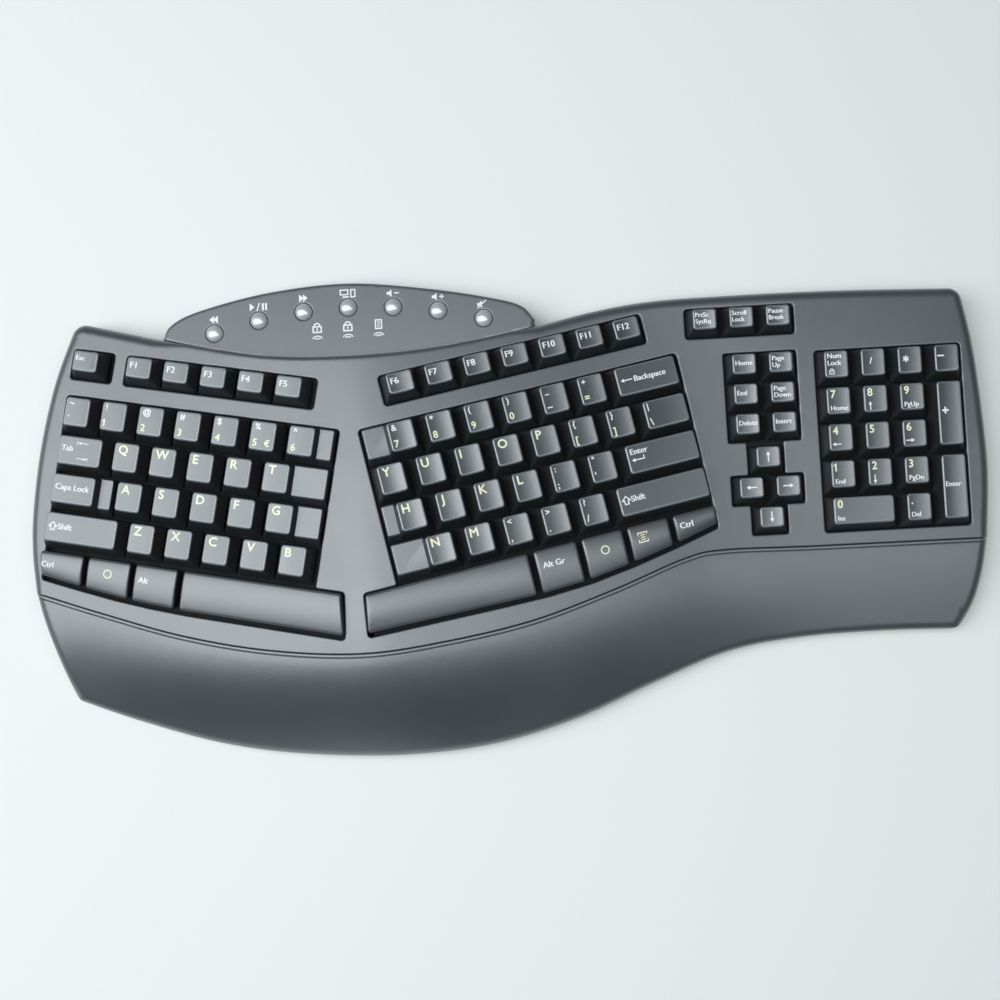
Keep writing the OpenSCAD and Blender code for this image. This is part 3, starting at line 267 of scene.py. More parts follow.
def rounded_polygon(corners, radii, step=1.6):
    """A counter-clockwise polygon as a loop of points, with its corners rounded."""
    corners = np.array(corners, float)
    bends = []
    for k, corner in enumerate(corners):
        a, b = unit(np.stack([corners[k - 1], corners[(k + 1) % len(corners)]]) - corner)
        half = math.acos(np.clip(a @ b, -1, 1)) / 2
        if half > STRAIGHT:
            bends.append(corner[None, :])
            continue
        r = radii if np.isscalar(radii) else radii[k]
        centre = corner + (a + b) / np.linalg.norm(a + b) * r / math.sin(half)
        start, end = (corner + side * r / math.tan(half) - centre for side in (a, b))
        turn = math.atan2(start[0] * end[1] - start[1] * end[0], start @ end)
        count = max(int(abs(turn) * r / ARC_STEP), 3) + 1
        bends.append(arc(centre, math.atan2(start[1], start[0]), turn, r, count))
    path = []
    for bend, after in zip(bends, bends[1:] + bends[:1]):
        path += [bend, spaced(np.vstack([bend[-1], after[0]]), step)[1:-1]]
    return np.vstack(path)


def box_loop(x0, y0, x1, y1, radius=WINDOW_R, step=1.6):
    return rounded_polygon([(x0, y0), (x1, y0), (x1, y1), (x0, y1)], radius, step)


def rectangle(x0, y0, x1, y1, radius, along=8):
    """Rounded rectangle with the same number of points whatever its size."""
    left, right, front, rear = x0 + radius, x1 - radius, y0 + radius, y1 - radius
    centres = [(right, front), (right, rear), (left, rear), (left, front)]
    bends = [arc(c, math.radians(90 * k - 90), math.pi / 2, radius, 5) for k, c in enumerate(centres)]
    share = np.linspace(0, 1, along + 2)[1:-1, None]
    path = []
    for bend, after in zip(bends, bends[1:] + bends[:1]):
        path += [bend, bend[-1] * (1 - share) + after[0] * share]
    return np.vstack(path)


# Heights of the case

def rise(degrees):
    return math.tan(math.radians(degrees))


def rolled(reach, radius):
    """Drop of a rounded edge at a distance from it."""
    short = np.clip(radius - reach, 0, radius)
    return radius - np.sqrt(radius ** 2 - short ** 2)


def tented(x, y):
    fall = rise(TENT_ANGLE) * (np.sqrt((x - SPLIT_X) ** 2 + CROWN_R ** 2) - HALF_REF[0])
    return HALF_REF[2] - DECK_DROP - fall + rise(HALF_SLOPE) * (y - HALF_REF[1])


def deck_z(x, y):
    """Height of the deck: two tented planes that run into the number pad's plane."""
    a = tented(x, y)
    b = PAD_ORIGIN[2] - DECK_DROP + rise(PAD_SLOPE) * (y - PAD_ORIGIN[1])
    joined = np.maximum(a, b) + np.maximum(BLEND_W - np.abs(a - b), 0) ** 2 / (4 * BLEND_W)
    return np.where(x < SPLIT_X, a, joined)


def panel_z(x, y):
    return PANEL_Z + rise(PANEL_SLOPE) * (y - BUTTON_Y)


def level(loop, z):
    """A flat loop at a height."""
    return np.column_stack([loop, np.full(len(loop), z)])


def raised(loop, surface, by=0.0):
    """A flat loop laid on a surface, or beside it."""
    return np.column_stack([loop, surface(loop[:, 0], loop[:, 1]) + by])


# Meshes

class Shape:
    """Points and faces of one piece, in millimetres. Each face has a paint, and each point a share of a
    lighter edge colour: edge wear on the case's lips and rims, painted highlight on the bead and the keys.
    """

    def __init__(self):
        self.points, self.wear, self.faces, self.paints = [], [], [], []

    def add(self, spots, wear=0.0):
        first = len(self.points)
        self.points += [tuple(map(float, p)) for p in spots]
        self.wear += [wear] * (len(self.points) - first)
        return list(range(first, len(self.points)))

    def face(self, corners, paint=0):
        self.faces.append(tuple(corners))
        self.paints.append(paint)

    def skin(self, below, above, paint=0, joined=True):
        """Quads between two rows of as many points, which may be closed rings."""
        for k in range(len(below) if joined else len(below) - 1):
            n = (k + 1) % len(below)
            self.face((below[k], below[n], above[n], above[k]), paint)

    def sleeve(self, rings, paint=0):
        for above, below in zip(rings, rings[1:]):
            self.skin(below, above, paint)

    def stack(self, rings, paint=0):
        """A closed form through some rings, from the top down."""
        self.face(rings[0], paint)
        self.sleeve(rings, paint)
        self.face(rings[-1][::-1], paint)

    def plan(self, ring):
        return np.array([self.points[n][:2] for n in ring])

    def fill(self, outer, holes, loose, paint=0):
        """Triangles inside a ring and outside the holes, through the loose points; all are point numbers."""
        rings = [outer, *holes]
        numbers = [n for ring in rings for n in ring] + list(loose)
        edges, first = [], 0
        for ring in rings:
            edges += [(first + k, first + (k + 1) % len(ring)) for k in range(len(ring))]
            first += len(ring)
        flat = [Vector(p) for p in self.plan(numbers)]
        spots, _, faces, origin, _, _ = delaunay_2d_cdt(flat, edges, [], 2, 1e-5)
        if not all(origin):
            raise ValueError("rings cross")
        middles = np.array([np.mean([spots[v] for v in f], axis=0) for f in faces])
        cut = np.zeros(len(faces), bool)
        for hole in holes:
            cut |= inside(middles, self.plan(hole))
        for f, gone in zip(faces, cut):
            if not gone:
                self.face([numbers[origin[v][0]] for v in f], paint)

    def made(self, name, paints):
        """The piece as a Blender object."""
        mesh = bpy.data.meshes.new(name)
        mesh.from_pydata((np.array(self.points) * MM).tolist(), [], self.faces)
        for paint in paints:
            mesh.materials.append(paint)
        mesh.polygons.foreach_set("material_index", self.paints)
        wear_and_highlight_colour = mesh.attributes.new("wear", "FLOAT", "POINT")
        wear_and_highlight_colour.data.foreach_set("value", self.wear)
        editable = bmesh.new()
        editable.from_mesh(mesh)
        bmesh.ops.recalc_face_normals(editable, faces=editable.faces)
        editable.to_mesh(mesh)
        editable.free()
        mesh.shade_smooth()
        mesh.set_sharp_from_angle(angle=math.radians(SHARP_ANGLE))
        piece = bpy.data.objects.new(name, mesh)
        bpy.context.scene.collection.objects.link(piece)
        return piece


def even_spots(within, holes, spacing, clear):
    """Loose spots on an even lattice, inside a loop, outside its holes and clear of them all."""
    low, high = within.min(0), within.max(0)
    rows = []
    for k, y in enumerate(np.arange(low[1], high[1], spacing * LATTICE_ROW)):
        x = np.arange(low[0] + (k % 2) * spacing / 2, high[0], spacing)
        rows.append(level(x[:, None], y))
    spots = np.vstack(rows)
    spots = spots[inside(spots, within)]
    spots = spots[distance(spots, closed(within)) > clear]
    for hole in holes:
        spots = spots[~inside(spots, hole)]
        spots = spots[distance(spots, closed(hole)) > clear]
    return spots


class Window:
    """A hole through a shell, cut square to a frame, with a rounded lip."""

    def __init__(self, loop, place, drop, surface, lip=WINDOW_LIP, depth=3.2, rim=1.0):
        self.loop, self.place, self.drop, self.surface = loop, place, drop, surface
        self.lip, self.depth, self.rim = lip, depth, rim

    def ring(self, out, down):
        """Ring at a distance outside the hole's wall and a depth below the surface."""
        spots = level(grown(self.loop, out), -self.drop) @ self.place[:3, :3].T + self.place[:3, 3]
        return raised(spots[:, :2], self.surface) - down * self.place[:3, 2]

    def cut(self, shape, wall):
        """Adds the lip and wall, and gives the rings that the outer and inner skins join."""
        rings = [shape.add(self.ring(self.lip + WINDOW_RIM, 0))]
        for a in np.radians([0, 25, 50, 72, 90]):
            out, down = self.lip * (1 - math.sin(a)), self.lip * (1 - math.cos(a))
            rings.append(shape.add(self.ring(out, down), LIP_WEAR))
        for out, down in ((0, self.depth), (self.rim, self.depth), (self.rim, wall)):
            rings.append(shape.add(self.ring(out, down)))
        shape.sleeve(rings)
        return rings[0], rings[-1]


def shell(outline, hollow, surface, windows, loose, wall, spacing, clear=1.8):
    """A moulded shell: a skin over an outline, walls down to the parting plane, and a hollow below."""
    shape = Shape()
    cuts = [w.cut(shape, wall) for w in windows]
    holes = [shape.plan(outer) for outer, _ in cuts]
    top = shape.add(raised(outline, surface), RIM_WEAR)
    spots = [even_spots(outline, holes, spacing, clear)]
    for extra in loose:
        extra = extra[inside(extra, outline)]
        for hole in holes:
            extra = extra[~inside(extra, hole) & (distance(extra, closed(hole)) > HOLE_CLEAR)]
        spots.append(extra)
    shape.fill(top, [outer for outer, _ in cuts], shape.add(raised(np.vstack(spots), surface)))
    side = shape.add(level(outline, PART_Z + SHELL_EASE))
    foot = shape.add(level(grown(outline, -SHELL_EASE), PART_Z))
    shape.sleeve([top, side, foot])
    inner_foot = shape.add(level(hollow, PART_Z))
    shape.fill(foot, [inner_foot], [])
    roof = shape.add(raised(hollow, surface, -wall))
    shape.skin(roof, inner_foot)
    coarse = even_spots(hollow, [shape.plan(inner) for _, inner in cuts], spacing * 2, spacing)
    shape.fill(roof, [inner for _, inner in cuts], shape.add(raised(coarse, surface, -wall)))
    return shape


# Key places: columns and rows in key widths

def place_of(origin, *turns):
    """Frame at an origin, turned about each named axis of the turned frame in its order."""
    m = Matrix.Translation(origin)
    for axis, degrees in turns:
        m = m @ Matrix.Rotation(math.radians(degrees), 4, axis)
    return np.array(m)


def half_place(side):
    return place_of(
        (SPLIT_X + side * HALF_REF[0], HALF_REF[1], HALF_REF[2]),
        ("X", HALF_SLOPE), ("Y", side * TENT_ANGLE), ("Z", side * SPLIT_ANGLE),
    )


LEFT, RIGHT = half_place(-1), half_place(1)
PAD = place_of(PAD_ORIGIN, ("X", PAD_SLOPE))
FLAT = np.eye(4)
REF_COLUMN, REF_ROW = 6.5, 1.5
FUNCTION_ROW, BOTTOM_ROW = -1.33, 3.64
HOME_EDGE, OUTER_EDGE = -0.5, 14.45
LEFT_LEDGE, RIGHT_LEDGE = 6.82, 6.0
CAPS_EDGE, CAPS_LEDGE = 1.25, 0.27
LEFT_FUNCTION, RIGHT_FUNCTION = 1.46, 7.29
HALF_SKIRT = 0.5 - KEY_GAP / (2 * KEY_PITCH)
LEFT_LEAN = 2.4 / KEY_PITCH
left_front_edge = points((-0.46, 4.34), (0.85, 4.52), (2.1, 4.66), (3.4, 4.73), (7.7, 4.76))
right_front_edge = points((5, 4.68), (9.4, 4.82), (10.7, 4.78), (11.9, 4.64), (13.15, 4.44), (14.35, 4.2))
PRINT_Y = 61.8
EDITING_Y = [38.7 - i * SHORT_PITCH for i in range(3)]
ARROW_Y = [-7.4 - i * SHORT_PITCH for i in range(3)]


def at(column, row):
    return np.array([(column - REF_COLUMN) * KEY_PITCH, (REF_ROW - row) * KEY_PITCH])


def top_depth(depth):
    return depth - KEY_GAP - FRONT_TAPER - REAR_TAPER


def window_box(x0, x1, y0, y1, depth):
    """Lower left and upper right corners of a window round keys whose cells lie between two points."""
    reach = top_depth(depth) / 2 + WINDOW_GAP
    return x0 - WINDOW_GAP, y0 - reach - FRONT_TAPER, x1 + WINDOW_GAP, y1 + reach + REAR_TAPER


def function_window(first, last):
    (x0, y), (x1, _) = at(first - HALF_SKIRT, FUNCTION_ROW), at(last + HALF_SKIRT, FUNCTION_ROW)
    return box_loop(*window_box(x0, x1, y, y, FUNCTION_DEPTH))


def main_window(first, last, slab_first, slab_last, edge, step_right):
    """Window round a half's four rows and its bottom slabs, with a step where the slabs reach further."""
    x0, _, x1, y1 = window_box(at(first, 0)[0], at(last, 0)[0], at(0, 3)[1], at(0, 0)[1], KEY_PITCH)
    columns = np.linspace(slab_first[1], slab_last[1], 9)
    rows = np.interp(columns, edge[:, 0], edge[:, 1])
    front = [at(c, r) - (0, WINDOW_GAP) for c, r in zip(columns, rows)]
    front[0][0] -= WINDOW_GAP
    front[-1][0] += WINDOW_GAP
    step_y = at(0, BOTTOM_ROW)[1] + WINDOW_GAP
    if step_right:
        rest = [(at(slab_last[0], 0)[0] + WINDOW_GAP, step_y), (x1, step_y), (x1, y1), (x0, y1)]
        radii = [WINDOW_R, STEP_R, WINDOW_R, WINDOW_R]
    else:
        rest = [(x1, y1), (x0, y1), (x0, step_y), (at(slab_first[0], 0)[0] - WINDOW_GAP, step_y)]
        radii = [WINDOW_R, WINDOW_R, STEP_R, WINDOW_R]
    smooth = [SMOOTH_R] * (len(front) - 2)
    return rounded_polygon([*front, *rest], [WINDOW_R, *smooth, WINDOW_R, *radii])


def pad_columns(first, last):
    return (first - 0.5) * PAD_PITCH + KEY_GAP / 2, (last + 0.5) * PAD_PITCH - KEY_GAP / 2


def pad_window(first, last, y0, y1, depth):
    return box_loop(*window_box(*pad_columns(first, last), y0, y1, depth))


def arrow_window():
    """Window round the editing keys and the arrows below them."""
    boxes = [
        window_box(*pad_columns(-3.5, -3.5), ARROW_Y[2], ARROW_Y[2], SHORT_PITCH),
        window_box(*pad_columns(-4, -3), ARROW_Y[1], ARROW_Y[1], SHORT_PITCH),
        window_box(*pad_columns(-4, -3), EDITING_Y[2], EDITING_Y[0], SHORT_PITCH),
    ]
    (left, y0, right, _), (far_left, y1, far_right, y2), (_, y3, _, y4) = boxes
    sides = [(0, y0), (0, y1), (1, y1), (1, y2), (0, y2), (0, y3), (1, y3), (1, y4)]
    corners = [((right, far_right)[wide], y) for wide, y in sides]
    corners += [((left, far_left)[wide], y) for wide, y in sides[::-1]]
    return rounded_polygon(corners, ARROW_R)


LEFT_FIRST, RIGHT_LAST = HOME_EDGE + 0.5 - HALF_SKIRT, OUTER_EDGE - 0.5 + HALF_SKIRT
deck_windows = [
    (function_window(0, LEFT_LEAN), LEFT),
    (function_window(LEFT_FUNCTION, LEFT_FUNCTION + 4 + LEFT_LEAN), LEFT),
    (main_window(LEFT_FIRST, LEFT_LEDGE, (-0.46, -0.34), (7.56, 7.78), left_front_edge, True), LEFT),
    (function_window(RIGHT_FUNCTION, RIGHT_FUNCTION + 6), RIGHT),
    (main_window(RIGHT_LEDGE, RIGHT_LAST, (5.14, 4.98), (14.37, 14.33), right_front_edge, False), RIGHT),
    (pad_window(-5, -3, PRINT_Y, PRINT_Y, SHORT_PITCH), PAD),
    (arrow_window(), PAD),
    (pad_window(-1.5, 1.5, -2 * PAD_PITCH, 2 * PAD_PITCH, PAD_PITCH), PAD),
]


# Materials

DRIFT_SHARE, GLOSS_SPREAD, COAT_ROUGH = 0.6, 0.05, 0.36


def linear(code):
    """A colour written as sRGB, such as "5a6064", for a shader."""
    parts = [int(code[k:k + 2], 16) / 255 for k in (0, 2, 4)]
    return [c / 12.92 if c <= 0.04045 else ((c + 0.055) / 1.055) ** 2.4 for c in parts] + [1.0]


def paint(name, dark, light, rough, drift=18.0, grain=1900.0, bump=0.05, metal=0.0, specular=0.5, wear_and_highlight_colour=None,
          coat=0.0):
    """A moulded surface: colour and gloss drift slowly, and a fine grain shows in colour and height."""
    made = bpy.data.materials.new(name)
    made.use_nodes = True
    nodes, links = made.node_tree.nodes, made.node_tree.links

    def feed(node, inputs):
        """Gives a node its inputs: numbers, colours or other nodes' outputs."""
        for socket, value in inputs.items():
            if isinstance(value, bpy.types.NodeSocket):
                links.new(value, node.inputs[socket])
            else:
                node.inputs[socket].default_value = value
        return node.outputs

    def mixed(share, a, b):
        node = nodes.new("ShaderNodeMix")
        node.data_type = "RGBA"
        return feed(node, {"Factor": share, "A": a, "B": b})["Result"]

    def noise(scale, detail):
        node = nodes.new("ShaderNodeTexNoise")
        return feed(node, {"Vector": place, "Scale": scale, "Detail": detail})["Fac"]

    def sums(operation, *terms):
        node = nodes.new("ShaderNodeMath")
        node.operation = operation
        return feed(node, dict(enumerate(terms)))[0]

    place = nodes.new("ShaderNodeTexCoord").outputs["Object"]
    slow, fine = noise(drift, 4), noise(grain, 3)
    share = sums("MULTIPLY_ADD", slow, DRIFT_SHARE, sums("MULTIPLY", fine, 1 - DRIFT_SHARE))
    colour = mixed(share, linear(dark), linear(light))
    # Lighter edge colour by each point's share: wear on lips and rims, painted highlight along the bead and
    # the key edges
    if wear_and_highlight_colour:
        edge = nodes.new("ShaderNodeAttribute")
        edge.attribute_name = "wear"
        colour = mixed(edge.outputs["Fac"], colour, linear(wear_and_highlight_colour))
    gloss = feed(nodes.new("ShaderNodeMapRange"), {
        "Value": slow, "From Min": 0.3, "From Max": 0.7, 
        "To Min": rough - GLOSS_SPREAD, "To Max": rough + GLOSS_SPREAD,
    })["Result"]
    height = feed(nodes.new("ShaderNodeBump"), {
        "Strength": 0.5, "Distance": bump * MM, "Height": fine,
    })["Normal"]
    feed(nodes["Principled BSDF"], {
        "Base Color": colour, "Roughness": gloss, "Normal": height, "Metallic": metal,
        "Specular IOR Level": specular, "Coat Weight": coat, "Coat Roughness": COAT_ROUGH,
    })
    return made


SHEEN = {"specular": 1.0, "coat": 0.9}
# The edge colours below lighten the pieces' edges: wear on the case, palm and panel lips and rims; painted
# highlight on the palm's bead and along the key tops' edges
case_paint = paint("case_plastic", "353a3f", "3f454a", 0.40, bump=0.12, wear_and_highlight_colour="50565b", **SHEEN)
palm_paint = paint("palm_plastic", "343a3f", "3e444a", 0.40, bump=0.12, wear_and_highlight_colour="666a6d", **SHEEN)
# Panel plastic a little lighter than the case: partly its own tone, partly painted light for a brighter panel
panel_paint = paint("panel_plastic", "41474c", "4b5156", 0.38, bump=0.12, wear_and_highlight_colour="5a6065", **SHEEN)
under_paint = paint("under_plastic", "313437", "3a3d40", 0.5, bump=0.04)
top_paint = paint(
    "key_top_plastic", "303539", "3a3f43", 0.34, grain=2400.0, bump=0.08, wear_and_highlight_colour="687077", **SHEEN,
)
# Key sides and stems: the tops' plastic painted darker, as the shade that falls between the keys
side_shade_paint = paint("key_side_painted_shade", "212426", "282b2d", 0.42, grain=3200.0, bump=0.03)
white_paint = paint("legend_white", "e6e8e6", "eef0ee", 0.5, bump=0.0)
yellow_paint = paint("legend_yellow", "e8e6c6", "efedd0", 0.5, bump=0.0)
silver_paint = paint("button_silver", "c8cccf", "d4d8da", 0.3, bump=0.004, metal=0.5, specular=1.0)
lens_paint = paint("lens_plastic", "b8bcb8", "cfd3cf", 0.3, bump=0.0, specular=0.6)
# Key frames: dark plastic, painted near-black so the gaps between keys show as shade
frame_shade_paint = paint("frame_plastic", "0f1011", "151617", 0.7, bump=0.03, specular=0.25)
dome_paint = paint("dome_rubber", "8f999d", "a3acb0", 0.6, bump=0.02)
foil_paint = paint("membrane_foil", "c9c9bb", "d6d6c8", 0.35, bump=0.0)
steel_paint = paint("backplate_steel", "8c9194", "a0a5a8", 0.35, drift=60.0, bump=0.01, metal=1.0)
board_paint = paint("circuit_board", "1d5232", "26653f", 0.4, drift=120.0, bump=0.02)
screw_paint = paint("screw_steel", "85898c", "9a9ea1", 0.3, drift=300.0, bump=0.01, metal=1.0)
rubber_paint = paint("foot_rubber", "1a1a1a", "232323", 0.75, grain=1500.0, bump=0.06)


def settle(piece, body, slot, *nodes):
    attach(piece, body)
    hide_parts(*nodes)
    return piece


# Top cover

ROLL_STEPS = (0.12, 0.4, 0.9, 1.6, 2.5, 3.5, 4.5, 5.2, 6.2)
SEAM_STEPS = (0.06, 0.25, 0.55)
SKIN_STEP = 4.0
seam = eased_ends(trace(seam_line), 7.0, 0.4)
deck_sides = rounded_corner(trace(right_rear)[::-1], trace(rear_line)[::-1], CORNER_R)
deck_sides = rounded_corner(deck_sides, trace(left_rear), CORNER_R)
deck_outline = np.vstack([seam[:-1], deck_sides[:-1]])


def deck_surface(x, y):
    spots = np.column_stack([x, y])
    beyond = np.clip((np.abs(x - PANEL_MIDDLE) - PANEL_HALF) / PANEL_EASE, 0, 1)
    radius = np.where(y > PANEL_SIDE_Y, PANEL_EDGE + (EDGE_ROLL - PANEL_EDGE) * beyond, EDGE_ROLL)
    side = rolled(distance(spots, deck_sides), radius)
    return deck_z(x, y) - np.maximum(side, rolled(distance(spots, seam), SEAM_ROLL))


cover = shell(
    deck_outline, shrunk(deck_outline, SHELL_WALL)[::3], deck_surface,
    [Window(loop, place, DECK_DROP, deck_surface) for loop, place in deck_windows],
    [shrunk(deck_outline, d) for d in ROLL_STEPS + SEAM_STEPS], SHELL_WALL, SKIN_STEP,
)
settle(cover.made("top_cover_shell", [case_paint]), "case", "case_plastic", "top_cover")


# Palm rest, with a bead along the seam between two fine grooves

BEAD_STEPS = (0.1, 0.3, 0.75, 1.2, 1.4, 1.5, 1.62, 1.75, 1.88, 2.0, 2.3, 3.0)
BEAD_CLEAR = 3.4
front = trace(front_line)
palm_left, palm_right = trace(left_front), trace(right_front)[::-1]
palm_sides = rounded_corner(rounded_corner(palm_left, front, PALM_CORNER_R), palm_right, PALM_CORNER_R)
palm_seam = seam - (0, PALM_GAP)
palm_sides[0], palm_sides[-1] = palm_seam[0], palm_seam[-1]
palm_outline = np.vstack([palm_sides[:-1], palm_seam[::-1][:-1]])


def palm_surface(x, y):
    spots = np.column_stack([x, y])
    back, ahead = distance(spots, palm_seam), distance(spots, front)
    t = back / (back + ahead)
    z = LIP_Z + (deck_z(x, y) - PALM_STEP - LIP_Z) * (1 - t ** PALM_POWER)
    bead = BEAD_RISE * np.sqrt(np.clip(1 - (2 * back / BEAD_W - 1) ** 2, 0, 1))
    groove = GROOVE_DEPTH * np.clip(1 - (2 * (back - BEAD_W) / GROOVE_W - 1) ** 2, 0, 1)
    side = np.minimum(distance(spots, palm_left), distance(spots, palm_right))
    return z + bead - groove - np.maximum(rolled(side, EDGE_ROLL), rolled(ahead, PALM_ROLL))


palm_rings = [shrunk(palm_outline, d) for d in ROLL_STEPS]
palm_rings = [ring[distance(ring, palm_seam) > BEAD_CLEAR] for ring in palm_rings]
palm_rings += [beside(palm_seam, d) for d in BEAD_STEPS]
palm = shell(
    palm_outline, shrunk(palm_outline, SHELL_WALL)[::3], palm_surface, [], palm_rings, SHELL_WALL,
    SKIN_STEP, 3.6,
)
# The bead's crest takes the palm's lighter edge colour: a painted highlight along the bead
from_seam = distance(np.array(palm.points)[:, :2], palm_seam)
palm.wear = np.where((from_seam > 0.2) & (from_seam < BEAD_W - 0.15), BEAD_HIGHLIGHT, palm.wear).tolist()
settle(palm.made("palm_rest_shell", [palm_paint]), "case", "case_plastic", "palm_rest")


# Media panel

def button_spot(i):
    x = i * BUTTON_PITCH
    return BUTTON_X + x, BUTTON_Y - x ** 2 / (2 * BUTTON_ARC_R)


def lens_loop(x, out, radius, step):
    w, d = LENS_W / 2 + out, LENS_D / 2 + out
    return box_loop(x - w, LENS_Y - d, x + w, LENS_Y + d, radius, step)


button_spots = [button_spot(i) for i in range(-3, 4)]
panel_front = trace(rear_line, PANEL_FROM, PANEL_TO) + (0, PANEL_GAP)
panel_rear = trace(panel_line)[::-1]
panel_outline = np.vstack([panel_front[1:-1], panel_rear])


def panel_surface(x, y):
    spots = np.column_stack([x, y])
    back = rolled(distance(spots, panel_rear), PANEL_ROLL)
    ahead = rolled(distance(spots, panel_front), PANEL_FRONT_ROLL)
    return panel_z(x, y) - np.maximum(back, ahead)


PANEL_STEPS = (0.1, 0.35, 0.8, 1.3, 1.9, 2.6)
button_holes = [circle(x, y, BUTTON_D / 2 + BUTTON_CLEAR) for x, y in button_spots]
lens_holes = [lens_loop(x, LENS_CLEAR, 0.6, 0.8) for x in LENS_X]
panel_windows = [Window(loop, FLAT, 0, panel_z, lip=0.5, depth=2.6, rim=0.6) for loop in button_holes]
panel_windows += [Window(loop, FLAT, 0, panel_z, lip=0.15, depth=2.4, rim=0.3) for loop in lens_holes]
panel = shell(
    panel_outline, shrunk(panel_outline, PANEL_WALL)[::2], panel_surface, panel_windows,
    [shrunk(panel_outline, d) for d in PANEL_STEPS], PANEL_WALL, 3.0, 1.35,
)
settle(panel.made("media_panel_shell", [panel_paint]), "case", "case_plastic", "media_panel")


# Keys

# Key paints: top, side painted darker as shade, white print, yellow print
TOP, SHADE_SIDE, WHITE, YELLOW = 0, 1, 2, 3
key_paints = [top_paint, side_shade_paint, white_paint, yellow_paint]


def edge_steps(radius):
    """Drop below the top and inset of the rings round a rounded edge."""
    return [(radius * (1 - math.sin(a)), radius * (1 - math.cos(a))) for a in np.radians([30, 60, 90])]


def posts(w):
    """Places of the stems under a key: one, or three under a wide one."""
    return [-w / 2 + POST_INSET, 0, w / 2 - POST_INSET] if w > WIDE_KEY * KEY_PITCH else [0]


@functools.cache
def lettering(words):
    """Points and faces of words in Blender's own font, from their left edge and baseline."""
    data = bpy.data.curves.new("lettering", "FONT")
    data.body = words
    data.extrude = 0.05
    data.resolution_u = 3
    data.fill_mode = "BOTH"
    holder = bpy.data.objects.new("lettering", data)
    bpy.context.scene.collection.objects.link(holder)
    mesh = bpy.data.meshes.new_from_object(holder.evaluated_get(bpy.context.evaluated_depsgraph_get()))
    spots = np.array([v.co for v in mesh.vertices])
    faces = [tuple(f.vertices) for f in mesh.polygons]
    bpy.data.objects.remove(holder)
    bpy.data.meshes.remove(mesh)
    bpy.data.curves.remove(data)
    return spots - (spots[:, 0].min(), 0, 0), faces


CAPITAL = lettering("H")[0][:, 1].max()


